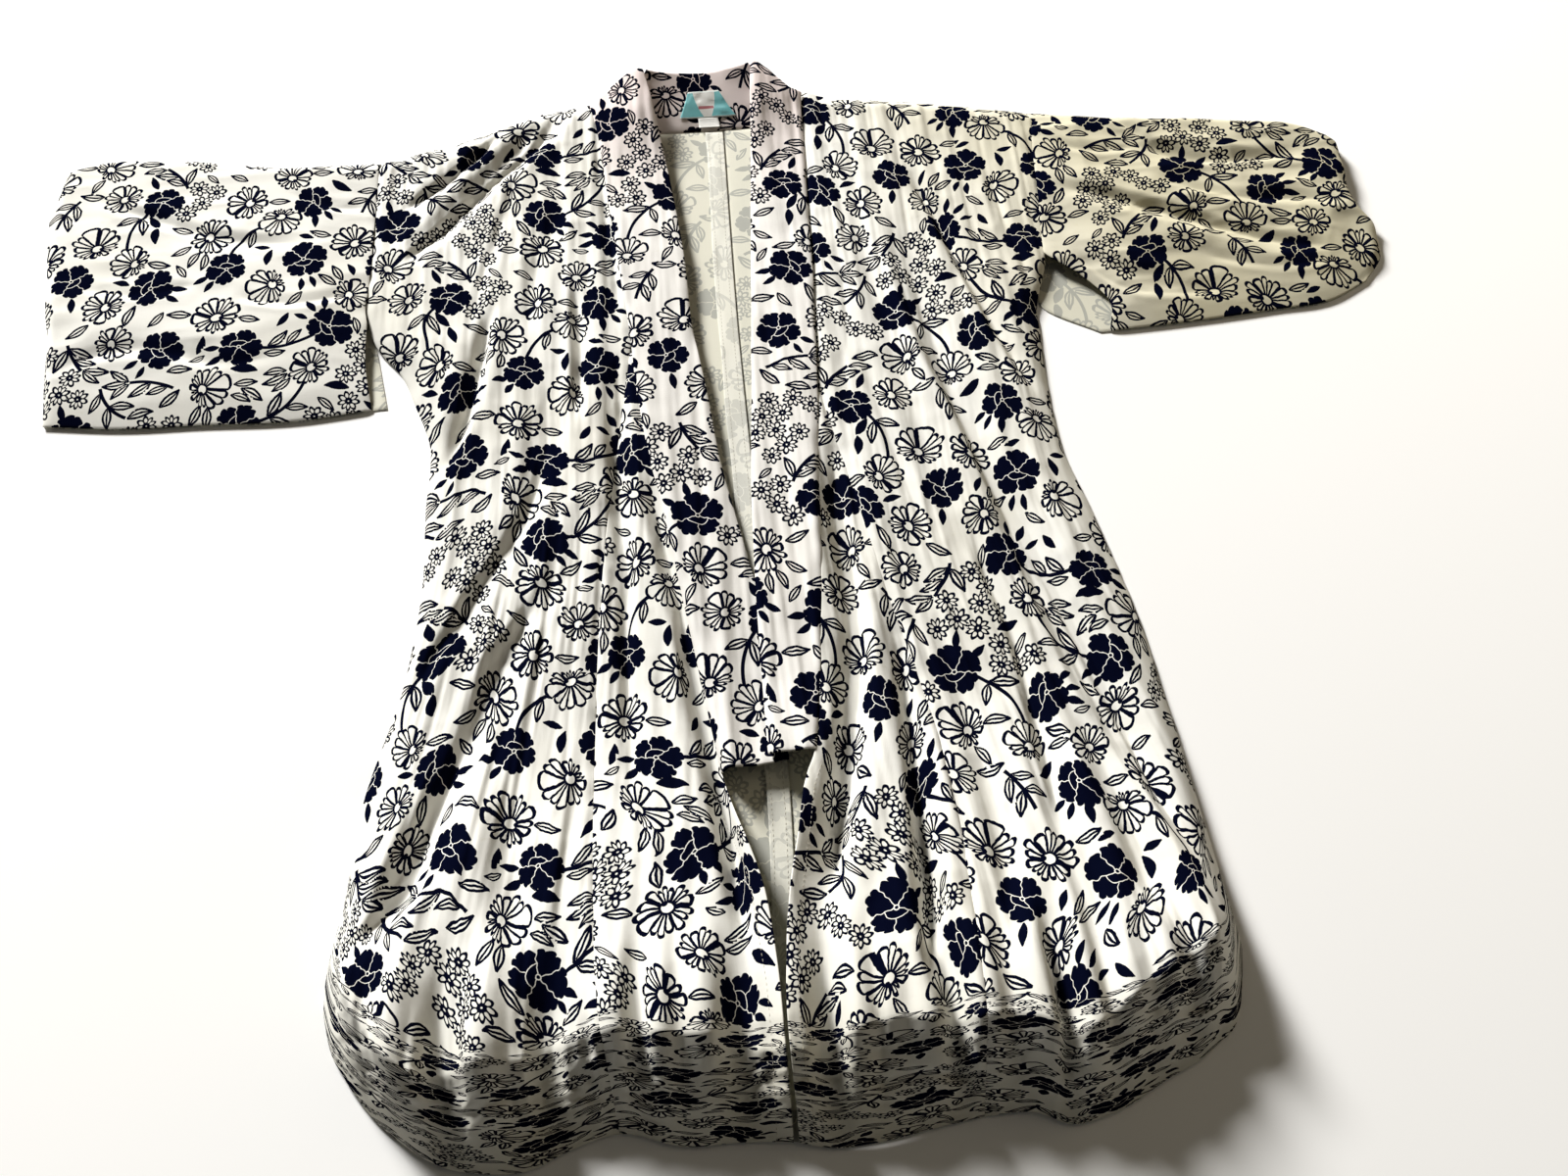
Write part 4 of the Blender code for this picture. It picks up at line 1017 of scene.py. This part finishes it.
def fillAgingAndPaintedShade(tree, patchSize):
    # soft wide patches where the cotton has yellowed, flecks where it has been handled, and a mask
    # for the neck; the yellowing mask also carries painted shade, growing towards the right in
    # place of the light falling off there, and along the hem strip in place of the shade it lies in
    place = addNode(tree, "TexCoord").outputs["Object"]
    wide, fine = (addNode(tree, "TexNoise", dict(Vector=place, Scale=scale, Detail=detail))
                  for scale, detail in ((patchSize, 3.0), (130.0, 4.0)))
    x, y, unused = split(place)
    # painted shade: the mask grows towards the right, standing in for the key light falling off
    # across the robe
    paintedShadeToTheRight = mulAdd(mulAdd(y, 0.30, x), 4.0, -1.0, clamp=True)
    patchesAndPaintedHemShade = mulAdd(wide.outputs["Fac"], 3.2, -1.45, clamp=True)
    # painted shade: the mask grows in the strip just above the hem, standing in for the shade that
    # strip lies in
    patchesAndPaintedHemShade = mulAdd(mulAdd(y, -9.0, -3.7, clamp=True), 1.8, patchesAndPaintedHemShade)
    return (mulAdd(paintedShadeToTheRight, 3.8, patchesAndPaintedHemShade), mulAdd(fine.outputs["Fac"], 6.0, -3.9, clamp=True),
            mulAdd(y, 6.0, -2.0, clamp=True))


groups = dict(
    print=newGroup("clothPrint", {}, ("Ink",), fillPrint),
    weave=newGroup("cottonWeave", dict(Threads="Float"), ("Height", "Mottle"), fillWeave),
    agingAndPaintedShade=newGroup("clothAgingAndPaintedShade", dict(Size="Float"), ("StainAndPaintedShade", "Fleck", "Neck"), fillAgingAndPaintedShade),
)


def mixColour(share, first, second):
    first, second = ((*c, 1) if isinstance(c, tuple) else c for c in (first, second))
    mixed = addNode(share.id_data, "Mix", {0: share, 6: first, 7: second}, data_type="RGBA")
    return mixed.outputs[2]


def finishShader(tree, colour, roughness, height, strength, distance):
    shader = tree.nodes["Principled BSDF"]
    tree.links.new(colour, shader.inputs["Base Color"])
    shader.inputs["Roughness"].default_value = roughness
    relief = addNode(tree, "Bump", dict(Strength=strength, Distance=distance, Height=height))
    tree.links.new(relief.outputs["Normal"], shader.inputs["Normal"])
    return shader


cotton = dict(threadPitch=0.00055, patchSize=7.0, neckShare=0.55, mottleShare=0.16, mottleTint=0.78,
              fleckShare=0.20, bump=0.35, bumpDepth=0.0002)


def newMaterial(name):
    material = bpy.data.materials.new(name)
    material.use_nodes = True
    return material


def clothMaterial(name, ground, ink, inkStrength, stainAndPaintedShadeTint, stainAndPaintedShadeShare, roughness=0.92,
                  neckTint=None):
    material = newMaterial(name)
    tree = material.node_tree
    weave = addNode(tree, "Group", node_tree=groups["weave"])
    weave.inputs["Threads"].default_value = 2 * math.pi / cotton["threadPitch"]
    agingAndPaintedShade = addNode(tree, "Group", dict(Size=cotton["patchSize"]), node_tree=groups["agingAndPaintedShade"])
    # yellowed patches, plus painted shade towards the right and along the hem
    colour = mixColour(mul(agingAndPaintedShade.outputs["StainAndPaintedShade"], stainAndPaintedShadeShare), ground, stainAndPaintedShadeTint)
    if neckTint:
        colour = mixColour(mul(agingAndPaintedShade.outputs["Neck"], cotton["neckShare"]), colour, neckTint)
    mottle = mul(weave.outputs["Mottle"], cotton["mottleShare"])
    colour = mixColour(mottle, colour, tuple(value * cotton["mottleTint"] for value in ground))
    colour = mixColour(mul(agingAndPaintedShade.outputs["Fleck"], cotton["fleckShare"]), colour, stainAndPaintedShadeTint)
    if inkStrength:
        pattern = addNode(tree, "Group", node_tree=groups["print"])
        colour = mixColour(mul(pattern.outputs["Ink"], inkStrength), colour, ink)
    shader = finishShader(tree, colour, roughness, weave.outputs["Height"], cotton["bump"],
                          cotton["bumpDepth"])
    shader.inputs["Specular IOR Level"].default_value = 0.0
    return material


finish = dict(
    printed=clothMaterial("printedCotton", inks["ivory"], inks["navy"], 1.0, inks["yellowStainAndPaintedShade"], 0.20),
    collar=clothMaterial("collarCotton", inks["collar"], inks["navy"], 1.0, inks["yellowStainAndPaintedShade"], 0.10,
                         neckTint=inks["neck"]),
    reverse=clothMaterial("cottonReverse", inks["reverse"], inks["grey"], 0.62,
                          inks["reverseStainAndPaintedShade"], 0.16),
    turned=clothMaterial("turnedCotton", inks["turned"], inks["grey"], 0.30, inks["yellowStainAndPaintedShade"], 0.20),
    thread=clothMaterial("sewingThread", inks["thread"], inks["grey"], 0.0, inks["yellowStainAndPaintedShade"], 0.20,
                         roughness=0.7),
)


def settle(piece, replaced=()):
    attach(piece, "root")
    if replaced:
        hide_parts(*replaced)


def unitGrid(columns, rows):
    return np.meshgrid(*(np.linspace(0, 1, amount) for amount in (columns, rows)))


def panelGrid(plan, height, columns, rows):
    x, y = plan(*np.meshgrid(np.linspace(0, 1, columns), rows))
    return np.stack([x, y, height(x, y)], -1)


def edgeShare(grid, index, width):
    # 1 within the width of the grid's last row or first column, 0 one millimetre further in
    away = lengthOf(grid - grid[index])
    return 1 - softStep(away, width, width + 0.001)


fronts = dict(columns=144, rows=310, offset=dict(Left=(0.012, 0.020), Right=(0.171, 0.243)),
              height=dict(Left=leftHeight, Right=rightHeight), join=dict(Left=0.645, Right=0.584))
lastRow, firstColumn = np.s_[-1:], np.s_[:, :1]


def buildFronts():
    shoulder, hem = edge(cut["shoulder"], shift=-0.0005), edge(cut["hem"])
    for word, column in (("Left", 1), ("Right", 2)):
        inner = seamThenBand(cut["okumi" + word], cut["band" + word], fronts["join"][word],
                             column, column)
        plan = planBetween(edge(cut["side" + word]), inner, shoulder, hem)
        grid = panelGrid(plan, fronts["height"][word], fronts["columns"],
                         spread(fronts["rows"], 0.2, 0.6))
        grid = sewnEdge(grid, {0: robe["armholeDip"], -1: robe["seamDip"]})
        grid = wrapped(wrapped(grid, "top"), "side", turns=5, under=0.003)
        wall = robe["wall"] + robe["turnedWall"] * edgeShare(grid, lastRow, robe["hemFold"])
        piece = clothShell("front" + word, grid, clothUv(grid, fronts["offset"][word], cut["hem"]),
                           wall, [finish["printed"], finish["reverse"]])
        settle(piece, ["front_" + word.lower()])


okumi = dict(columns=46, rows=270, curl=0.0045, tip=0.012, groove=0.0005, grooveHalf=0.0012,
             strip=0.013)   # width of the turned strip down the free edge


def buildOkumi():
    for word, seam, free, offset in (("Left", 1, 2, (0.093, 0.11)), ("Right", 2, 1, (0.24, 0.05))):
        rows, band, strip = cut["okumi" + word], cut["band" + word], okumi["strip"]
        bandEnd = band[-1, 0]
        freeEdge = seamThenBand(rows, band, bandEnd - 0.001, free, seam)
        plan = planBetween(edge(rows, seam), freeEdge, levelLine(rows[0, 0] - okumi["tip"]),
                           edge(cut["hem"]))
        grid = panelGrid(plan, fronts["height"][word], okumi["columns"],
                         spread(okumi["rows"], 0.0, 0.5))
        # below the collar band the free edge is a turned and stitched strip that tips up a little
        bare = 1 - softStep(grid[..., 1], bandEnd - 0.05, bandEnd - 0.01)
        away = lengthOf(grid[..., :2] - grid[:, -1:, :2])
        tipUp = okumi["curl"] * np.clip(1 - away / strip, 0, 1) ** 1.5
        groove = okumi["groove"] * bell(away, strip, okumi["grooveHalf"])
        toHem = softStep(grid[..., 1] - along(cut["hem"], grid[..., 0]), 0.0, 0.05)
        grid[..., 2] += bare * toHem * (tipUp - groove)
        grid = sewnEdge(grid, {0: robe["seamDip"]})
        turned = np.maximum(edgeShare(grid, lastRow, robe["hemFold"]),
                            bare * (1 - softStep(away, strip - 0.001, strip)))
        piece = clothShell("okumi" + word, grid, clothUv(grid, offset, cut["hem"]),
                           robe["wall"] + robe["turnedWall"] * turned,
                           [finish["printed"], finish["reverse"]])
        path = lineOnPanel(grid, strip - 0.002)
        seamThread = stitches("okumi" + word + "Stitches", path[path[:, 1] < bandEnd - 0.012])
        settle(seamThread)
        settle(piece, ["okumi_" + word.lower()])


bands = dict(columns=34, rows=330, wall=0.0024, crown=0.0014, crownRun=0.10, pucker=0.00045,
             wave=0.0007, smooth=13, rimLoops=3)


def buildBands():
    sides = (
        ("Left", 1, 2, table(2, -130, 954, -120, 957, -64, 985, -50, 985),
         lambda x: 0.2160 + 0.10 * (x + 0.032), (0.0, 0.04)),
        ("Right", 2, 1, table(2, 40, 986, 50, 986, 98, 952, 110, 952), levelLine(0.226),
         (0.21, 0.15)),
    )
    for word, outer, inner, top, end, offset in sides:
        rows = cut["band" + word]
        u, v = unitGrid(bands["columns"], bands["rows"])
        x, y = planBetween(edge(rows, outer), edge(rows, inner), edge(top), end)(u, v)
        # the double band is stiffer than the cloth, so it bridges the small ripples
        kernel = np.hanning(bands["smooth"]) / np.hanning(bands["smooth"]).sum()
        rim = bands["smooth"] // 2
        padded = np.pad(fronts["height"][word](x, y), ((rim, rim), (0, 0)), mode="edge")
        z = np.stack([np.convolve(column, kernel, "valid") for column in padded.T], 1)
        # and it rounds off towards both long edges
        rounding = sum(np.clip(1 - away / bands["crownRun"], 0, 1) ** 2 for away in (u, 1 - u))
        toEdge = 0.4 + 0.6 * np.abs(2 * u - 1) ** 3
        pucker = bands["pucker"] * softNoise(60 * y, 3 * u, 41) * toEdge
        wave = bands["wave"] * softNoise(14 * y + 3, 1.5 * u, 42)
        z = z + robe["bandLift"] - bands["crown"] * rounding + pucker + wave
        grid = np.stack([x, y, z], -1)
        piece = clothShell("collar" + word, grid, clothUv(grid, offset), bands["wall"],
                           [finish["collar"]] * 2, rimLoops=bands["rimLoops"])
        settle(piece, ["collar_" + word.lower()])


neckBand = dict(
    line=0.9220, stand=0.0268, depth=0.0620, columns=96, rows=40, lift=0.003,
    left=(-0.090, 0.0300), right=(0.084, -0.0370),   # x at the seam, and what it gains by the edge
    sag=0.28, arch=0.10, slant=0.002,                # of the free edge's middle and right end
)


def neckPoint(u, v, lift):
    # the band behind the neck: u runs left to right, v from its seam up to its free edge
    b = neckBand
    left, right = (start + gain * v for start, gain in (b["left"], b["right"]))
    dip = 1 - 4 * u * (1 - u) * b["sag"] * v
    x = left * (1 - u) + right * u
    y = b["line"] + 0.0005 + b["depth"] * v * (1 - b["arch"] * u * (1 - u)) + b["slant"] * u * v
    z = b["stand"] * v ** 1.15 * dip + lift
    return np.stack([x, y, z], -1)


def buildNeck():
    u, v = unitGrid(neckBand["columns"], neckBand["rows"])
    v = v[::-1]
    grid = neckPoint(u, v, neckBand["lift"])
    grid[..., 2] += 0.0006 * softNoise(9 * u, 3 * v, 43) - 0.0008 * np.clip(1 - v / 0.1, 0, 1) ** 2
    piece = clothShell("collarNeck", grid, clothUv(grid, (0.12, 0.31)), bands["wall"],
                       [finish["collar"]] * 2, rimLoops=bands["rimLoops"])
    settle(piece, ["collar_neck"])


labelCut = dict(
    foot=(0.345, 0.710), head=(0.400, 0.645),   # both ends of its lower and upper edge, as u
    low=0.20, high=0.65, wall=0.0007, lift=0.0042, ribPitch=0.0007,
    tab=(0.465, 0.590), tabHeight=(0.015, 0.185), tabCurl=0.0012,
)
labelTints = dict(cloth=(0.80, 0.79, 0.74), rib=(0.62, 0.62, 0.58), wing=(0.16, 0.50, 0.52),
                  border=(0.70, 0.74, 0.70), bar=(0.42, 0.12, 0.13))


def labelMaterial(name, woven):
    # a woven label: fine cross threads, pale cloth with two turquoise wings and a plain bar
    material = newMaterial(name)
    tree = material.node_tree
    x, y, unused = split(clothPlace(tree))
    ribs = sine(mul(y, 2 * math.pi / labelCut["ribPitch"]))
    colour = mixColour(mulAdd(ribs, 0.05, 0.05), labelTints["cloth"], labelTints["rib"])
    if woven:
        side = size(sub(x, 0.5))
        wing = over(mulAdd(y, 0.30, side), 0.36)
        border = over(size(sub(y, 0.5)), 0.46)
        bar = mul(inside(size(sub(y, 0.62)), 0.055, 0.02), inside(side, 0.17, 0.02))
        for tint, share in dict(wing=wing, border=border, bar=bar).items():
            colour = mixColour(share, colour, labelTints[tint])
    finishShader(tree, colour, 0.55, ribs, 0.3, 0.0001)
    return material


def buildLabel():
    c = labelCut

    def between(ends, share):
        return ends[0] + (ends[1] - ends[0]) * share

    u, share = unitGrid(40, 24)
    share = 1 - share
    v = between((c["low"], c["high"]), share)
    left, right = (c["foot"][k] * (1 - share) + c["head"][k] * share for k in (0, 1))
    grid = neckPoint(left * (1 - u) + right * u, v, c["lift"])
    grid[..., 2] += 0.0004 * softNoise(6 * u, 4 * share, 51)
    sewnOn(grid, u, share, "neckLabel", "neck_label", "wovenLabel", True)
    u, v = unitGrid(16, 14)
    v = 1 - v
    grid = neckPoint(between(c["tab"], u), between(c["tabHeight"], v), c["lift"])
    grid[..., 2] += c["tabCurl"] * (1 - v) ** 2
    sewnOn(grid, u, v, "neckTab", "neck_tab", "tabCloth", False)


def sewnOn(grid, u, v, name, node, cloth, woven):
    # lays the label or its tab on the neck band, with its own pattern from edge to edge
    piece = clothShell(name, grid, np.stack([u, 1 - v], -1), labelCut["wall"],
                       [labelMaterial(cloth, woven)] * 2, printed=False)
    settle(piece, [node])


backs = dict(columns=80, rows=150, ripple=0.00028, inset=0.0036, drop=0.0003, underside=0.0002,
             seamDip=0.0004)


def buildBacks():
    def top(x):
        underCollar = 1 - softStep(np.abs(np.asarray(x) + 0.004), 0.104, 0.122)
        shoulder = along(cut["shoulder"], x) - 0.0075
        return shoulder * (1 - underCollar) + neckBand["line"] * underCollar

    def height(x, y):
        # flat on the surface, with faint ripples of its upper face only
        return robe["layer"] - backs["drop"] + backs["ripple"] * softNoise(30 * x, 9 * y, 61)

    for word, side, offset in (("Left", -1, (0.05, 0.11)), ("Right", 1, (0.22, 0.30))):
        plan = planBetween(edge(cut["side" + word], shift=-side * backs["inset"]),
                           edge(cut["centreBack"], shift=side * 0.0002), top,
                           edge(cut["hem"], shift=0.001))
        grid = panelGrid(plan, height, backs["columns"], spread(backs["rows"], 0.1, 0.3))
        toSeam = lengthOf(grid - grid[:, -1:])
        grid[..., 2] -= backs["seamDip"] * np.exp(-(toSeam / 0.0015) ** 1.5)
        wall = grid[..., 2] - backs["underside"]
        piece = clothShell("back" + word, grid, clothUv(grid, offset), wall,
                           [finish["reverse"], finish["printed"]])
        settle(piece, ["back_" + word.lower()])


allowance = dict(width=0.018, low=-0.035, high=0.918, top=0.0032, columns=16, rows=260, wall=0.0007,
                 wander=0.0008, curl=0.0007, stitchedAt=(0.0045, 0.0150))


def buildAllowance():
    a = allowance
    u, v = unitGrid(a["columns"], a["rows"])
    y = a["high"] + (a["low"] - a["high"]) * v
    wander = a["wander"] * softNoise(16 * y, 0 * y, 71) * u
    x = along(cut["centreBack"], y) - a["width"] * u + wander
    z = a["top"] + a["curl"] * softNoise(24 * y, 2 * u, 72) * u - 0.0006 * (1 - u)
    grid = np.stack([x, y, z], -1)
    piece = clothShell("backSeamAllowance", grid, clothUv(grid, (0.19, 0.07)), a["wall"],
                       [finish["turned"]] * 2)
    rows = [stitches("allowanceStitches%d" % number, lineOnPanel(grid, distance, False))
            for number, distance in enumerate(a["stitchedAt"])]
    for row in rows:
        settle(row)
    settle(piece, ["back_seam_allowance"])


sleeves = dict(columns=136, rows=140, backColumns=70, backRows=70, turn=0.016, bottomTurn=0.036,
               troughShare=0.5, cuffFold=0.011, cuffWall=0.0006,
               low=0.38, lowRun=0.12,   # share of the fullness left at the bottom edge
               cuffTurn=0.012, mouthLow=(0.69, 0.74), mouthHigh=(0.84, 0.90), mouthShare=0.75,
               joined=(0.34, 0.40))     # here it has the body's fullness still


def sleeveHeight(sleeve):
    side, amount, s = sleeve["side"], folds["sleeveCrumple"][sleeve["side"]], sleeves

    def height(x, y):
        # laid level + (fullness x troughs + crumples - creases) x the turns at shoulder, bottom
        # and cuff
        toBottom = y - along(sleeve["bottom"], x)
        overEdges = np.minimum(rounded(along(sleeve["shoulder"], x) - y, s["turn"]),
                               rounded(toBottom, s["bottomTurn"]))
        lower = s["low"] + (1 - s["low"]) * softStep(toBottom, 0.0, s["lowRun"])
        toCuff = side * (along(sleeve["cuff"], y) - x)
        mouth = softStep(y, *s["mouthLow"]) * (1 - softStep(y, *s["mouthHigh"]))
        overCuff = towardsOne(rounded(toCuff, s["cuffTurn"]), s["mouthShare"] * mouth)
        joined = 1 - softStep(side * x, *s["joined"])
        fullness = robe["sleeveFullness"] + (robe["bodyFullness"] - robe["sleeveFullness"]) * joined
        shape = fullness * pressed(x, y, folds["crossTroughs"], True, 0.15, 1.4)
        shape = fullness + (shape - fullness) * s["troughShare"]
        shape = shape + amount * (ridgedNoise(14 * x, 30 * y, 31) * 0.7
                                  + softNoise(22 * x + 5, 40 * y, 33) * 0.6)
        shape = shape - creased(x, y, folds["crossCreases"], True) * folds["sleeveCreaseDepth"]
        return robe["laidTop"] + np.maximum(shape, 0) * overEdges * overCuff * lower
    return height


def besideBody(rows, side):
    # sewn to the body down to the armhole's end, then free of it
    body = cut["sideRight"] if side > 0 else cut["sideLeft"]

    def at(y):
        y = np.asarray(y, float)
        clear = 0.0002 + 0.0020 * (1 - softStep(y, 0.700, 0.725))
        return side * np.maximum(side * along(rows, y), side * along(body, y) + clear)
    return at


def buildSleeves():
    def backHeight(x, y):
        return robe["layer"] - backs["drop"] + 0.0003 * softNoise(30 * x, 30 * y, 81)

    for word, sleeve, offset in (("Left", sleeveLeft, (0.03, 0.17)),
                                 ("Right", sleeveRight, (0.16, 0.02))):
        node, side = "sleeve_" + word.lower(), sleeve["side"]
        upper, lower = (planBetween(edge(sleeve["cuff"]), besideBody(sleeve[inner], side),
                                    edge(sleeve["shoulder"], shift=shift), edge(sleeve["bottom"]))
                        for inner, shift in (("upperInner", 0.0), ("lowerInner", -0.0070)))
        grid = panelGrid(upper, sleeveHeight(sleeve), sleeves["columns"], spread(sleeves["rows"]))
        grid = wrapped(sewnEdge(grid, {-1: robe["armholeDip"]}), "top")
        turned = edgeShare(grid, firstColumn, sleeves["cuffFold"])
        wall = robe["wall"] + sleeves["cuffWall"] * turned
        piece = clothShell("sleeve" + word + "Front", grid, clothUv(grid, offset), wall,
                           [finish["printed"], finish["reverse"]])
        settle(piece, [node + "_front"])
        grid = panelGrid(lower, backHeight, sleeves["backColumns"], spread(sleeves["backRows"]))
        uv = clothUv(grid, (offset[0] + 0.1, offset[1]))
        piece = clothShell("sleeve" + word + "Back", grid, uv, grid[..., 2] - backs["underside"],
                           [finish["reverse"], finish["printed"]])
        settle(piece, [node + "_back"])


buildFronts()
buildOkumi()
print("fronts and overlaps laid")
buildBands()
buildNeck()
buildLabel()
print("collar and label laid")
buildBacks()
buildAllowance()
buildSleeves()
print("backs and sleeves laid")

studio = dict(
    camera=(-0.0045, -0.5481, 0.95), aim=(0.0385, 0.4398, -0.8973), lens=28.125,
    keyPlace=(-3.2, 5.6, 3.0), keySize=1.6, keyPower=1230, keyColour=(1.0, 0.995, 0.985),
    fillPlace=(2.2, 0.9, 1.6), fillSize=2.0, fillPower=10, fillColour=(1.0, 0.84, 0.58),
    sky=(1.0, 0.96, 0.88), skyStrength=0.050,
    floor=(0.95, 0.94, 0.915), floorHalf=6, floorRoughness=0.9,
)


def buildStudio(s):
    scene = bpy.context.scene

    def place(name, data, where, aim):
        piece = bpy.data.objects.new(name, data)
        piece.location = where
        piece.rotation_euler = Vector(aim).to_track_quat("-Z", "Y").to_euler()
        scene.collection.objects.link(piece)
        return piece

    lens = bpy.data.cameras.new("camera")
    lens.lens, lens.clip_start = s["lens"], 0.01
    scene.camera = place("camera", lens, s["camera"], s["aim"])
    for word in ("key", "fill"):
        light = bpy.data.lights.new(word + "Light", "AREA")
        light.size, light.energy = s[word + "Size"], s[word + "Power"]
        light.color = s[word + "Colour"]
        place(word + "Light", light, s[word + "Place"], -Vector(s[word + "Place"]))
    world = bpy.data.worlds.new("studio")
    world.use_nodes = True
    sky = world.node_tree.nodes["Background"].inputs
    sky["Color"].default_value, sky["Strength"].default_value = (*s["sky"], 1), s["skyStrength"]
    scene.world = world
    scene.view_settings.view_transform = "Standard"
    half = s["floorHalf"]
    mesh = bpy.data.meshes.new("floor")
    mesh.from_pydata([(-half, -half, 0), (half, -half, 0), (half, half, 0), (-half, half, 0)], [],
                     [(0, 1, 2, 3)])
    material = newMaterial("paleFloor")
    shader = material.node_tree.nodes["Principled BSDF"].inputs
    shader["Base Color"].default_value = (*s["floor"], 1)
    shader["Roughness"].default_value = s["floorRoughness"]
    mesh.materials.append(material)
    floor = bpy.data.objects.new("floor", mesh)
    scene.collection.objects.link(floor)


buildStudio(studio)
print("studio ready")
